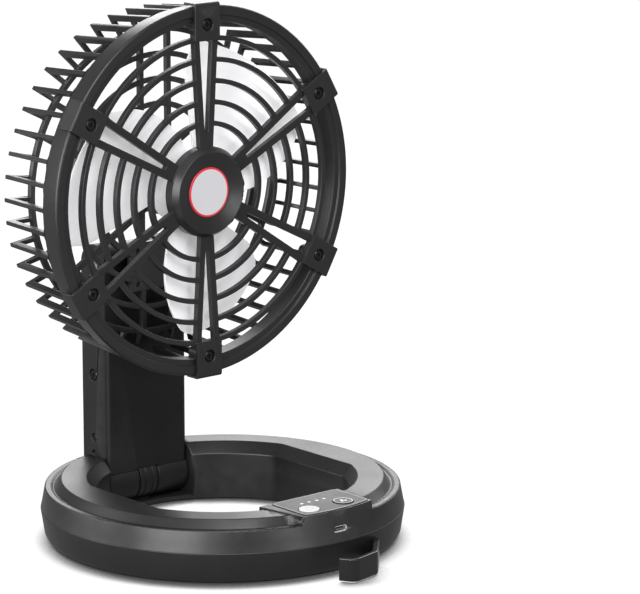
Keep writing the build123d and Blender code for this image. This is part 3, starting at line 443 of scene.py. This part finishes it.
@dataclass(frozen=True)
class RimmedDisc(Finish):
    """A printed disc across the fan's axis with a coloured rim.

    Attributes:
        rim: Colour of the rim.
        centre: Middle of the disc, X and Z.
        inner: Radius where the rim starts.
        outer: Radius where the rim ends.
        blur: Half the width of the rim's soft edges.
    """

    rim: Colour = (0.6, 0.02, 0.04)
    centre: Point = (0.0, 0.0)
    inner: float = 11.9 * MM
    outer: float = 13.3 * MM
    blur: float = 0.15 * MM

    def paint(self, bench: Bench, place: bpy.types.NodeSocket) -> object:
        """Pale disc with its rim.

        Args:
            bench: The material's bench.
            place: Coordinates of the surface.

        Returns:
            The pattern's socket.
        """
        split = bench.node("SeparateXYZ")
        bench.feed(split.inputs[0], place)
        across = bench.maths("SUBTRACT", split.outputs["X"], self.centre[0])
        above = bench.maths("SUBTRACT", split.outputs["Z"], self.centre[1])
        squares = bench.maths("ADD", bench.maths("POWER", across, 2.0), bench.maths("POWER", above, 2.0))
        radius = bench.maths("SQRT", squares)
        started = bench.remap(radius, (self.inner - self.blur, self.inner + self.blur))
        ended = bench.remap(radius, (self.outer - self.blur, self.outer + self.blur), (1.0, 0.0))
        return bench.blend(bench.maths("MULTIPLY", started, ended), self.colour, self.rim)


@dataclass(frozen=True)
class ShadedMouthSocket(Finish):
    """A metal shell round a dark plastic tongue, with painted shade in its opening.

    Attributes:
        tongue_and_shade: Colour of the tongue, and of the painted shade inside the opening.
        middle: Height of the tongue's middle.
        half: Half the height of the dark zone.
        reach: Half the width of the dark zone.
        blur: Half the width of the zone's soft edges.
    """

    tongue_and_shade: Colour = (0.012, 0.012, 0.013)
    middle: float = 0.0
    half: float = 1.0 * MM
    reach: float = 4.0 * MM
    blur: float = 0.1 * MM

    def paint(self, bench: Bench, place: bpy.types.NodeSocket) -> object:
        """Dark tongue with painted shade round it, bright shell.

        Args:
            bench: The material's bench.
            place: Coordinates of the surface.

        Returns:
            The pattern's socket.
        """
        split = bench.node("SeparateXYZ")
        bench.feed(split.inputs[0], place)
        off = bench.maths("ABSOLUTE", bench.maths("SUBTRACT", split.outputs["Z"], self.middle))
        low = bench.remap(off, (self.half - self.blur, self.half + self.blur), (1.0, 0.0))
        side = bench.maths("ABSOLUTE", split.outputs["X"])
        near = bench.remap(side, (self.reach - self.blur, self.reach + self.blur), (1.0, 0.0))
        # The dark zone is partly the tongue's own colour and partly painted shade in the opening.
        return bench.blend(bench.maths("MULTIPLY", low, near), self.colour, self.tongue_and_shade)


@dataclass(frozen=True)
class TracedBoard(Finish):
    """A circuit board with tracks under its mask.

    Attributes:
        track: Colour over a copper track.
        pitch: Distance between tracks.
        rows: Tracks in one repeat of the pattern.
    """

    track: Colour = (0.06, 0.3, 0.14)
    pitch: float = 2.2 * MM
    rows: float = 4.0

    def paint(self, bench: Bench, place: bpy.types.NodeSocket) -> object:
        """Green mask with paler tracks.

        Args:
            bench: The material's bench.
            place: Coordinates of the surface.

        Returns:
            The pattern's socket.
        """
        bricks = bench.node("TexBrick", offset=0.5)
        bench.feed(bricks.inputs["Vector"], place)
        bricks.inputs["Scale"].default_value = 1.0 / (self.rows * self.pitch)
        bricks.inputs["Color1"].default_value = (*self.colour, 1.0)
        bricks.inputs["Color2"].default_value = (*self.colour, 1.0)
        bricks.inputs["Mortar"].default_value = (*self.track, 1.0)
        return bricks.outputs["Color"]


class Workshop:
    """Keeps the finishes as materials and puts them on pieces."""

    def __init__(self) -> None:
        """Builds the shared effects."""
        self.effects = Effects()
        self.materials: dict[str, bpy.types.Material] = {}

    def material(self, finish: Finish) -> bpy.types.Material:
        """Gives the material of a finish, built on first use.

        Args:
            finish: The finish.

        Returns:
            The material.
        """
        if finish.name not in self.materials:
            self.materials[finish.name] = finish.build(self.effects)
        return self.materials[finish.name]

    def dress(self, piece: bpy.types.Object, finish: Finish) -> bpy.types.Object:
        """Puts a finish on every face of a piece.

        Args:
            piece: The piece, or a solid's own object.
            finish: The finish.

        Returns:
            The piece.
        """
        if not piece.material_slots:
            piece.data.materials.append(None)
        for place in piece.material_slots:
            place.link = "OBJECT"
            place.material = self.material(finish)
        log.info("%s in %s", piece.name, finish.name)
        return piece

    def dress_node(self, node: str, finish: Finish) -> bpy.types.Object:
        """Puts a finish on a solid that is shown as it is."""
        return self.dress(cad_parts[node], finish)


class Faces(Enum):
    """How a solid's triangles are joined before its edges are rounded."""

    WHOLE = "whole"
    QUADS = "quads"


@dataclass(frozen=True)
class Softening:
    """How a moulded solid's edges are rounded.

    Attributes:
        width: Width of the rounding.
        steps: Faces across the rounding.
        sharp: Edges that turn by more degrees than this are rounded.
        faces: How flat faces are joined first; quads suit faces with many holes.
        where: Picks the points whose edges are rounded.
    """

    width: float
    steps: int = 2
    sharp: float = 28.0
    faces: Faces = Faces.WHOLE
    where: Callable[[Vector], bool] = field(default=lambda point: True)


def soften(node: str, body: Body, rounding: Softening) -> bpy.types.Object:
    """Stands a piece with rounded edges in a solid's place.

    Args:
        node: The solid's name.
        body: The body that it rides on.
        rounding: How its edges are rounded.

    Returns:
        The new piece.
    """
    shape = bmesh.new()
    shape.from_mesh(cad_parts[node].data)
    bmesh.ops.remove_doubles(shape, verts=shape.verts, dist=SAME_POINT)
    if rounding.faces is Faces.QUADS:
        bmesh.ops.join_triangles(
            shape, faces=shape.faces, angle_face_threshold=FLAT_TURN, angle_shape_threshold=math.pi
        )
    else:
        bmesh.ops.dissolve_limit(shape, angle_limit=FLAT_TURN, verts=shape.verts, edges=shape.edges)
    limit = math.radians(rounding.sharp)
    chosen = [
        edge
        for edge in shape.edges
        if edge.calc_face_angle(0.0) > limit and all(rounding.where(v.co) for v in edge.verts)
    ]
    bmesh.ops.bevel(
        shape,
        geom=chosen,
        offset=rounding.width,
        offset_type="OFFSET",
        segments=rounding.steps,
        profile=0.5,
        affect="EDGES",
        clamp_overlap=False,
        loop_slide=True,
    )
    piece = add_mesh(node + "_moulded", shape, smooth=True)
    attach(piece, body.value)
    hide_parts(node)
    return piece


def add_mesh(name: str, shape: bmesh.types.BMesh, smooth: bool) -> bpy.types.Object:
    """Turns a built shape into an object.

    Args:
        name: The piece's name.
        shape: The shape, which is freed.
        smooth: Whether round faces are shaded smooth and flat faces kept flat.

    Returns:
        The object.
    """
    mesh = bpy.data.meshes.new(name)
    shape.to_mesh(mesh)
    shape.free()
    piece = bpy.data.objects.new(name, mesh)
    bpy.context.scene.collection.objects.link(piece)
    if smooth:
        mesh.shade_smooth()
        mesh.set_sharp_from_angle(angle=SHARP_TURN)
        even = piece.modifiers.new("even_normals", "WEIGHTED_NORMAL")
        even.keep_sharp = True
    return piece


def add_plate(
    name: str, outlines: Iterable[list[Point]], height: float, thickness: float
) -> bpy.types.Object:
    """Flat printed marks, each one raised by a film's thickness.

    Args:
        name: The piece's name.
        outlines: Closed outlines in X and Y.
        height: Z of the surface that carries them.
        thickness: How far they stand up.

    Returns:
        The object.
    """
    shape = bmesh.new()
    for outline in outlines:
        ring = [shape.verts.new((x, y, height)) for x, y in outline]
        face = shape.faces.new(ring)
        raised = bmesh.ops.extrude_face_region(shape, geom=[face])
        moved = [v for v in raised["geom"] if isinstance(v, bmesh.types.BMVert)]
        bmesh.ops.translate(shape, verts=moved, vec=(0.0, 0.0, thickness))
    bmesh.ops.recalc_face_normals(shape, faces=shape.faces)
    return add_mesh(name, shape, smooth=False)


def add_band(
    name: str, inside: list[Point], outside: list[Point], height: float, thickness: float
) -> bpy.types.Object:
    """A closed printed line between two outlines with as many points.

    Args:
        name: The piece's name.
        inside: Inner outline in X and Y.
        outside: Outer outline in X and Y.
        height: Z of the surface that carries it.
        thickness: How far it stands up.

    Returns:
        The object.
    """
    shape = bmesh.new()
    top = height + thickness
    edges = ((inside, height), (inside, top), (outside, top), (outside, height))
    rows = [[shape.verts.new((x, y, z)) for x, y in outline] for outline, z in edges]
    count = len(inside)
    for here, after in zip(rows, rows[1:] + rows[:1]):
        for i in range(count):
            j = (i + 1) % count
            shape.faces.new((here[i], here[j], after[j], after[i]))
    bmesh.ops.recalc_face_normals(shape, faces=shape.faces)
    return add_mesh(name, shape, smooth=False)


def circle(centre: Vector, radius: float, count: int = 48) -> list[Point]:
    """Points round a circle in X and Y."""
    turns = [math.tau * i / count for i in range(count)]
    return [(centre.x + radius * math.cos(a), centre.y + radius * math.sin(a)) for a in turns]


def film_outline(low: Vector, high: Vector, inset: float, corner: float, steps: int = 10) -> list[Point]:
    """Points round the panel's film, drawn in by an inset: three straight sides and the ring's arc.

    Args:
        low: Lowest corner of the film, which the arc round the ring's axis touches.
        high: Highest corner of the film.
        inset: Distance inside the film's edge.
        corner: Radius of the corners.
        steps: Points in each corner and along the arc.

    Returns:
        The points in X and Y.
    """
    margin = inset + corner
    left, right, back = low.x + margin, high.x - margin, high.y - margin
    reach = -low.y - margin
    front_left = math.pi + math.acos(-left / reach)
    front_right = math.tau - math.acos(right / reach)
    turns = (
        (right, back, corner, 0.0, math.pi / 2),
        (left, back, corner, math.pi / 2, math.pi),
        (left, reach * math.sin(front_left), corner, math.pi, front_left),
        (0.0, 0.0, reach + corner, front_left, front_right),
        (right, reach * math.sin(front_right), corner, front_right, math.tau),
    )
    points = []
    for x, y, radius, first, last in turns:
        for i in range(steps + 1):
            angle = first + (last - first) * i / steps
            points.append((x + radius * math.cos(angle), y + radius * math.sin(angle)))
    return points


BASE_BLACK = Finish(
    "base_black", (0.0085, 0.0083, 0.009), 0.38, grain_size=0.7, grain_depth=0.012, dust=0.02
)
ARM_BLACK = Finish(
    "arm_black", (0.006, 0.0059, 0.0064), 0.44, specular=0.32, grain_size=0.5, grain_depth=0.012, dust=0.015
)
GUARD_BLACK = Finish("guard_black", (0.011, 0.0108, 0.0116), 0.34, grain_depth=0.012, dust=0.015)
HOOK_BLACK = Finish(
    "hook_black", (0.006, 0.006, 0.0065), 0.13, specular=0.6, grain_size=1.2, grain_depth=0.006, dust=0.01
)
SCREW_BLACK = Finish(
    "screw_black", (0.02, 0.02, 0.022), 0.28, metallic=0.7, grain_size=0.4, grain_depth=0.006, dust=0.0
)
FILM_DARK = Finish(
    "film_dark", (0.025, 0.024, 0.027), 0.38, specular=0.15, grain_size=0.5, grain_depth=0.008, dust=0.02
)
PRINT_WHITE = Finish(
    "print_white", (0.55, 0.55, 0.56), 0.45, grain_size=0.3, grain_depth=0.004, edge=0.0, dust=0.0
)
PRINT_GREY = Finish(
    "print_grey", (0.3, 0.3, 0.31), 0.4, grain_size=0.3, grain_depth=0.004, edge=0.0, dust=0.0
)
BUTTON_BLACK = Finish(
    "button_black", (0.018, 0.018, 0.02), 0.4, specular=0.2, grain_size=0.8, grain_depth=0.006,
    drift=0.06, dust=0.0,
)
BUTTON_WHITE = Finish(
    "button_white", (0.5, 0.5, 0.51), 0.45, specular=0.15, grain_size=0.5, grain_depth=0.006,
    drift=0.03, dust=0.0,
)
LAMP_CLEAR = Finish(
    "lamp_clear", (0.42, 0.42, 0.43), 0.2, transmission=0.3, grain_size=0.4, grain_depth=0.004,
    drift=0.03, dust=0.0,
)
FOOT_RUBBER = Finish(
    "foot_rubber", (0.016, 0.016, 0.016), 0.8, specular=0.3, grain_size=0.9, grain_depth=0.04, dust=0.1
)
TURNED_STEEL = Finish(
    "turned_steel", (0.56, 0.56, 0.58), 0.28, metallic=1.0, grain_size=0.8, grain_depth=0.006, dust=0.0
)
SINTERED = Finish(
    "sintered_bronze", (0.5, 0.33, 0.16), 0.42, metallic=1.0, grain_size=0.35, grain_depth=0.02, dust=0.0
)
CELL_SLEEVE = Finish("cell_sleeve", (0.03, 0.16, 0.4), 0.3, grain_size=1.5, dust=0.0)
NYLON_WHITE = Finish("nylon_white", (0.68, 0.67, 0.62), 0.5, grain_size=0.5, grain_depth=0.01, dust=0.0)
# The blades' glow is painted light: an even emission in place of light scattered through the plastic.
BLADE_MILKY = Finish(
    "blade_milky", (0.92, 0.92, 0.94), 0.45, transmission=0.04, glow=0.18, grain_size=1.0,
    grain_depth=0.008, drift=0.03, edge=0.0, dust=0.01,
)
BOARD_GREEN = TracedBoard(
    "board_green", (0.02, 0.13, 0.06), 0.35, grain_size=0.5, grain_depth=0.01, dust=0.0
)
SOCKET_METAL = ShadedMouthSocket(
    "socket_metal", (0.8, 0.8, 0.82), 0.25, metallic=0.4, grain_size=0.5, grain_depth=0.003, dust=0.0
)
BADGE_DISC = RimmedDisc(
    "badge_disc", (0.51, 0.505, 0.53), 0.4, grain_size=0.5, grain_depth=0.004, drift=0.03, edge=0.0, dust=0.0
)


@dataclass
class BaseRing:
    """The ring that the fan stands on, with its hook and the lower hinge.

    Attributes:
        shop: Where finishes come from.
        flat_radius: Edges of the upper half are rounded inside this radius.
        bevel_low: And above this height.
        skin_radius: Edges of the lower half are rounded outside this radius.
        shell_edge: Rounding of the two halves.
        bracket_edge: Rounding of the hinge's knuckle.
        hook_edge: Rounding of the hook.
        hook_steps: Faces across the hook's rounding.
        foot_edge: Rounding of the foot strip.
    """

    shop: Workshop
    flat_radius: float = 81.5 * MM
    bevel_low: float = 22.5 * MM
    skin_radius: float = 89.0 * MM
    shell_edge: float = 0.5 * MM
    bracket_edge: float = 0.3 * MM
    hook_edge: float = 0.7 * MM
    hook_steps: int = 3
    foot_edge: float = 0.3 * MM

    def build(self) -> None:
        """Softens the moulded halves and dresses what they hold."""
        round_top = Softening(self.shell_edge, faces=Faces.QUADS, where=self._inside)
        round_skin = Softening(self.shell_edge, where=self._outer_skin)
        round_hook = Softening(self.hook_edge, steps=self.hook_steps)
        upper = soften("base_upper_shell", Body.BASE, round_top)
        lower = soften("base_lower_shell", Body.BASE, round_skin)
        bracket = soften("base_hinge_bracket", Body.BASE, Softening(self.bracket_edge))
        hook = soften("hanging_hook", Body.BASE, round_hook)
        foot = soften("foot_ring", Body.BASE, Softening(self.foot_edge))
        for piece in (upper, lower):
            self.shop.dress(piece, BASE_BLACK)
        self.shop.dress(bracket, ARM_BLACK)
        self.shop.dress(hook, HOOK_BLACK)
        self.shop.dress(foot, FOOT_RUBBER)
        for node in ("base_screws", "bracket_screws"):
            self.shop.dress_node(node, SCREW_BLACK)
        self.shop.dress_node("battery_cells", CELL_SLEEVE)
        self.shop.dress_node("base_hinge_pin", TURNED_STEEL)
        self.shop.dress_node("base_hinge_washers", NYLON_WHITE)

    def _inside(self, point: Vector) -> bool:
        """True on the flat top and the opening's slope."""
        return math.hypot(point.x, point.y) < self.flat_radius and point.z > self.bevel_low

    def _outer_skin(self, point: Vector) -> bool:
        """True away from the small features in the ring's hollow."""
        return math.hypot(point.x, point.y) > self.skin_radius


@dataclass
class ControlPanel:
    """The printed film, the buttons and the charging socket.

    Attributes:
        shop: Where finishes come from.
        print_thickness: Height of printed marks.
        border_inset: Distance of the printed border from the film's edge.
        border_width: Width of the printed border.
        border_corner: Corner radius of the printed border.
        film_edge: Rounding of the film.
        flange: Width of a button's hidden flange round its cap.
        fan_ring: Inner and outer radius of the fan button's ring, as shares of its cap's.
        lamp_ring: The same of the light button's ring.
        lobes: Number of small blades on the fan button.
        lobe_reach: Their distance from the button's middle, as a share of its cap's radius.
        lobe_size: Their radius, as a share of the same.
        lobe_points: Points round each of them.
    """

    shop: Workshop
    print_thickness: float = 0.04 * MM
    border_inset: float = 0.7 * MM
    border_width: float = 0.3 * MM
    border_corner: float = 2.4 * MM
    film_edge: float = 0.1 * MM
    flange: float = 0.9 * MM
    fan_ring: Span = (0.88, 0.95)
    lamp_ring: Span = (0.34, 0.42)
    lobes: int = 3
    lobe_reach: float = 0.24
    lobe_size: float = 0.17
    lobe_points: int = 24

    def build(self) -> None:
        """Dresses the panel and prints its marks."""
        film = soften("panel_label", Body.BASE, Softening(self.film_edge))
        self.shop.dress(film, FILM_DARK)
        self.shop.dress(self._border(), PRINT_GREY)
        self.shop.dress(self._fan_mark(), PRINT_WHITE)
        self.shop.dress(self._ring(Body.FAN_BUTTON, Slot.WHITE, self.fan_ring), PRINT_WHITE)
        self.shop.dress(self._ring(Body.LIGHT_BUTTON, Slot.FILM, self.lamp_ring), PRINT_GREY)
        self.shop.dress_node("light_button", BUTTON_WHITE)
        self.shop.dress_node("fan_button", BUTTON_BLACK)
        self.shop.dress_node("led_windows", LAMP_CLEAR)
        self.shop.dress_node("control_board", BOARD_GREEN)
        self.shop.dress_node("board_screws", SCREW_BLACK)
        low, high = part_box("usb_socket")
        self.shop.dress_node("usb_socket", replace(SOCKET_METAL, middle=(low.z + high.z) / 2))

    def _border(self) -> bpy.types.Object:
        """Prints a thin line just inside the film's edge.

        Returns:
            The line.
        """
        low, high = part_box("panel_label")
        inner, outer = (
            film_outline(low, high, self.border_inset + width, self.border_corner - width)
            for width in (self.border_width, 0.0)
        )
        piece = add_band("label_border", inner, outer, high.z, self.print_thickness)
        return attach(piece, Body.BASE.value)

    def _ring(self, body: Body, slot: Slot, shares: Span) -> bpy.types.Object:
        """Prints an outlined circle on a button.

        Args:
            body: The button's body, which has the name of its solid.
            slot: The ring's material slot; not used.
            shares: Its inner and outer radius, as shares of the cap's radius.

        Returns:
            The ring.
        """
        middle, top, radius = self._button(body.value)
        inner, outer = (circle(middle, share * radius) for share in shares)
        piece = add_band(body.value + "_ring", inner, outer, top, self.print_thickness)
        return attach(piece, body.value)

    def _fan_mark(self) -> bpy.types.Object:
        """Prints small blades on the fan button.

        Returns:
            The mark.
        """
        middle, top, radius = self._button(Body.FAN_BUTTON.value)
        blades = []
        for turn in range(self.lobes):
            start = math.pi / 2 + math.tau * turn / self.lobes
            aim = Vector((math.cos(start), math.sin(start), 0.0))
            lobe = middle + self.lobe_reach * radius * aim
            blades.append(circle(lobe, self.lobe_size * radius, self.lobe_points))
        piece = add_plate("fan_button_mark", blades, top, self.print_thickness)
        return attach(piece, Body.FAN_BUTTON.value)

    def _button(self, node: str) -> tuple[Vector, float, float]:
        """Measures a round button.

        Args:
            node: The button's solid.

        Returns:
            Its middle in X and Y, its top's height and its cap's radius.
        """
        low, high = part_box(node)
        return (low + high) / 2, high.z, (high.x - low.x) / 2 - self.flange


@dataclass
class Arm:
    """The hinged arm between base and head.

    Attributes:
        shop: Where finishes come from.
        shell_edge: Rounding of the rear shell.
        cover_edge: Rounding of the front cover.
    """

    shop: Workshop
    shell_edge: float = 0.5 * MM
    cover_edge: float = 0.55 * MM

    def build(self) -> None:
        """Softens the two shells and dresses the fasteners."""
        rear = soften("arm_rear_shell", Body.ARM, Softening(self.shell_edge))
        cover = soften("arm_front_cover", Body.ARM, Softening(self.cover_edge))
        for piece in (rear, cover):
            self.shop.dress(piece, ARM_BLACK)
        self.shop.dress_node("arm_screws", SCREW_BLACK)
        self.shop.dress_node("head_hinge_pin", TURNED_STEEL)


@dataclass
class FanHead:
    """Guard, grille and motor.

    Attributes:
        shop: Where finishes come from.
        guard_edge: Rounding of the guard and the motor's cap.
        grille_edge: Rounding of the grille.
        bracket_edge: Rounding of the hinge's bracket.
    """

    shop: Workshop
    guard_edge: float = 0.4 * MM
    grille_edge: float = 0.3 * MM
    bracket_edge: float = 0.5 * MM

    def build(self) -> None:
        """Softens the guard and grille and dresses the rest."""
        round_guard = Softening(self.guard_edge, faces=Faces.QUADS)
        round_grille = Softening(self.grille_edge, faces=Faces.QUADS)
        guard = soften("rear_guard", Body.HEAD, round_guard)
        grille = soften("front_grille", Body.HEAD, round_grille)
        bracket = soften("head_hinge_bracket", Body.HEAD, Softening(self.bracket_edge))
        cap = soften("motor_rear_cap", Body.HEAD, Softening(self.guard_edge))
        for piece in (guard, grille, bracket, cap):
            self.shop.dress(piece, GUARD_BLACK)
        for node in ("grille_screws", "head_bracket_screws", "motor_screws"):
            self.shop.dress_node(node, SCREW_BLACK)
        self.shop.dress_node("head_hinge_washers", NYLON_WHITE)
        self.shop.dress_node("motor_can", TURNED_STEEL)
        self.shop.dress_node("motor_end_plate", NYLON_WHITE)
        self.shop.dress_node("motor_bushings", SINTERED)
        low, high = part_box("hub_badge")
        middle = (low + high) / 2
        self.shop.dress_node("hub_badge", replace(BADGE_DISC, centre=(middle.x, middle.z)))


@dataclass
class Impeller:
    """The turning blades with their shaft and rotor.

    Attributes:
        shop: Where finishes come from.
        blade_edge: Rounding of the blades.
    """

    shop: Workshop
    blade_edge: float = 0.4 * MM

    def build(self) -> None:
        """Softens the blades and dresses the shaft."""
        blades = soften("fan_blades", Body.IMPELLER, Softening(self.blade_edge))
        self.shop.dress(blades, BLADE_MILKY)
        self.shop.dress_node("motor_shaft", TURNED_STEEL)
        self.shop.dress_node("motor_rotor", TURNED_STEEL)


@dataclass(frozen=True)
class Softbox:
    """A square soft lamp that faces the fan.

    Attributes:
        name: The lamp's name.
        azimuth: Direction from the fan, 0 in front and -90 on the left, in degrees.
        elevation: Height of that direction, in degrees.
        distance: Distance from the fan.
        size: Side of the square.
        power: Power in watts.
    """

    name: str
    azimuth: float
    elevation: float
    distance: float
    size: float
    power: float


@dataclass
class Studio:
    """Floor, lamps, surroundings and camera.

    Attributes:
        camera_place: Where the camera stands.
        camera_aim: The point in the middle of its picture.
        lens: Focal length, in millimetres.
        sensor: Width of the picture that the focal length is for, in millimetres.
        view_end: How far the camera sees.
        floor_reach: Half the side of the floor.
        floor_colour: Colour of the floor under the lamps alone.
        floor_roughness: Roughness of the floor.
        floor_specular: Strength of the floor's reflection.
        floor_glow: Light that makes the floor white where it is seen.
        shadow_reach: How near a piece must be to take that light away.
        shadow_from: Direction that the taken light comes from, so the shadow falls to the front.
        shadow_span: Open share of that direction from the darkest shadow to none.
        shadow_samples: Tries for each point of the shadow.
        sky: Strength of the light from all round.
        mirrored: Share of the white surroundings that reflections show.
        lamps: The soft lamps.
    """

    camera_place: Vector = field(default_factory=lambda: Vector((-1.15407, -1.40913, 0.5287)))
    camera_aim: Vector = field(default_factory=lambda: Vector((0.06716, 0.0, 0.11638)))
    lens: float = 203.4
    sensor: float = 36.0
    view_end: float = 50.0
    floor_reach: float = 9.0
    floor_colour: Colour = (0.05, 0.05, 0.05)
    floor_roughness: float = 0.9
    floor_specular: float = 0.1
    floor_glow: float = 0.98
    shadow_reach: float = 13.5 * MM
    shadow_from: tuple[float, float, float] = (0.56, 0.68, 0.47)
    shadow_span: Span = (0.45, 0.78)
    shadow_samples: int = 8
    sky: float = 0.6
    mirrored: float = 0.25
    lamps: tuple[Softbox, ...] = (
        Softbox("key_softbox", -70.0, 10.0, 1.5, 1.0, 26.0),
        Softbox("side_softbox", -125.0, 13.0, 1.5, 0.8, 11.0),
        Softbox("top_softbox", -20.0, 76.0, 1.5, 1.0, 2.0),
        Softbox("fill_softbox", -25.0, 40.0, 1.6, 0.7, 16.0),
        Softbox("back_softbox", 139.0, 27.0, 1.5, 0.9, 11.0),
        Softbox("right_softbox", 100.0, 28.0, 1.5, 0.9, 6.0),
        Softbox("front_softbox", 5.0, 7.0, 1.6, 0.6, 5.0),
    )

    def build(self) -> None:
        """Sets up everything that isn't the fan."""
        bpy.context.scene.view_settings.view_transform = "Standard"
        self._floor()
        self._surroundings()
        for lamp in self.lamps:
            self._lamp(lamp)
        self._camera()

    def _floor(self) -> None:
        """Lays a floor that is seen white, apart from the shadow close to the fan."""
        shape = bmesh.new()
        bmesh.ops.create_grid(shape, x_segments=1, y_segments=1, size=self.floor_reach)
        piece = add_mesh("studio_floor", shape, smooth=False)
        material = bpy.data.materials.new("studio_white")
        material.use_nodes = True
        bench = Bench(material.node_tree)
        shader = next(n for n in material.node_tree.nodes if n.type == "BSDF_PRINCIPLED")
        shader.inputs["Base Color"].default_value = (*self.floor_colour, 1.0)
        shader.inputs["Roughness"].default_value = self.floor_roughness
        shader.inputs["Specular IOR Level"].default_value = self.floor_specular
        shader.inputs["Emission Color"].default_value = PURE_WHITE
        near = bench.node("AmbientOcclusion", samples=self.shadow_samples)
        near.inputs["Distance"].default_value = self.shadow_reach
        lean = bench.node("CombineXYZ")
        for socket, value in zip(lean.inputs, self.shadow_from):
            socket.default_value = value
        bench.feed(near.inputs["Normal"], lean.outputs[0])
        open_sky = bench.remap(near.outputs["AO"], self.shadow_span)
        glow = bench.maths("MULTIPLY", self._seen(bench, open_sky), self.floor_glow)
        bench.feed(shader.inputs["Emission Strength"], glow)
        piece.data.materials.append(material)

    def _surroundings(self) -> None:
        """Puts white all round, dimmer where it only lights the fan or is mirrored."""
        world = bpy.data.worlds.new("studio_world")
        world.use_nodes = True
        bpy.context.scene.world = world
        bench = Bench(world.node_tree)
        back = next(n for n in world.node_tree.nodes if n.type == "BACKGROUND")
        back.inputs["Color"].default_value = PURE_WHITE
        lit = bench.maths("MULTIPLY", bench.node("LightPath").outputs["Is Diffuse Ray"], self.sky)
        bench.feed(back.inputs["Strength"], bench.maths("ADD", self._seen(bench, 1.0), lit))

    def _seen(self, bench: Bench, share: object) -> bpy.types.NodeSocket:
        """Works out how white the surroundings are to a ray.

        Args:
            bench: The bench of the floor's or the world's tree.
            share: How white they are where they are seen directly.

        Returns:
            That share where they are seen directly or through clear material, less in reflections.
        """
        path = bench.node("LightPath")
        open_view = bench.maths("MAXIMUM", path.outputs["Is Camera Ray"], path.outputs["Is Transmission Ray"])
        direct = bench.maths("MULTIPLY", open_view, share)
        dimmed = bench.maths("MULTIPLY", path.outputs["Is Glossy Ray"], self.mirrored)
        return bench.maths("MAXIMUM", direct, dimmed)

    def _lamp(self, lamp: Softbox) -> None:
        """Hangs one soft lamp.

        Args:
            lamp: Its place, size and power.
        """
        light = bpy.data.lights.new(lamp.name, "AREA")
        light.shape = "SQUARE"
        light.size = lamp.size
        light.energy = lamp.power
        holder = bpy.data.objects.new(lamp.name, light)
        turn, rise = math.radians(lamp.azimuth), math.radians(lamp.elevation)
        away = Vector((math.sin(turn) * math.cos(rise), -math.cos(turn) * math.cos(rise), math.sin(rise)))
        middle = (CAD_BOX[0] + CAD_BOX[1]) / 2
        holder.location = middle + away * lamp.distance
        holder.rotation_euler = away.to_track_quat("Z", "Y").to_euler()
        bpy.context.scene.collection.objects.link(holder)

    def _camera(self) -> None:
        """Sets the camera at the photograph's angle."""
        camera = bpy.data.cameras.new("camera")
        camera.lens = self.lens
        camera.sensor_width = self.sensor
        camera.clip_end = self.view_end
        holder = bpy.data.objects.new("camera", camera)
        holder.location = self.camera_place
        holder.rotation_euler = (self.camera_aim - self.camera_place).to_track_quat("-Z", "Y").to_euler()
        bpy.context.scene.collection.objects.link(holder)
        bpy.context.scene.camera = holder


def main() -> None:
    """Builds the sub-assemblies in order, then the studio."""
    logging.basicConfig(level=logging.INFO, format="%(name)s: %(message)s")
    shop = Workshop()
    for assembly in (BaseRing(shop), ControlPanel(shop), Arm(shop), FanHead(shop), Impeller(shop)):
        assembly.build()
    Studio().build()


if __name__ == "__main__":
    main()
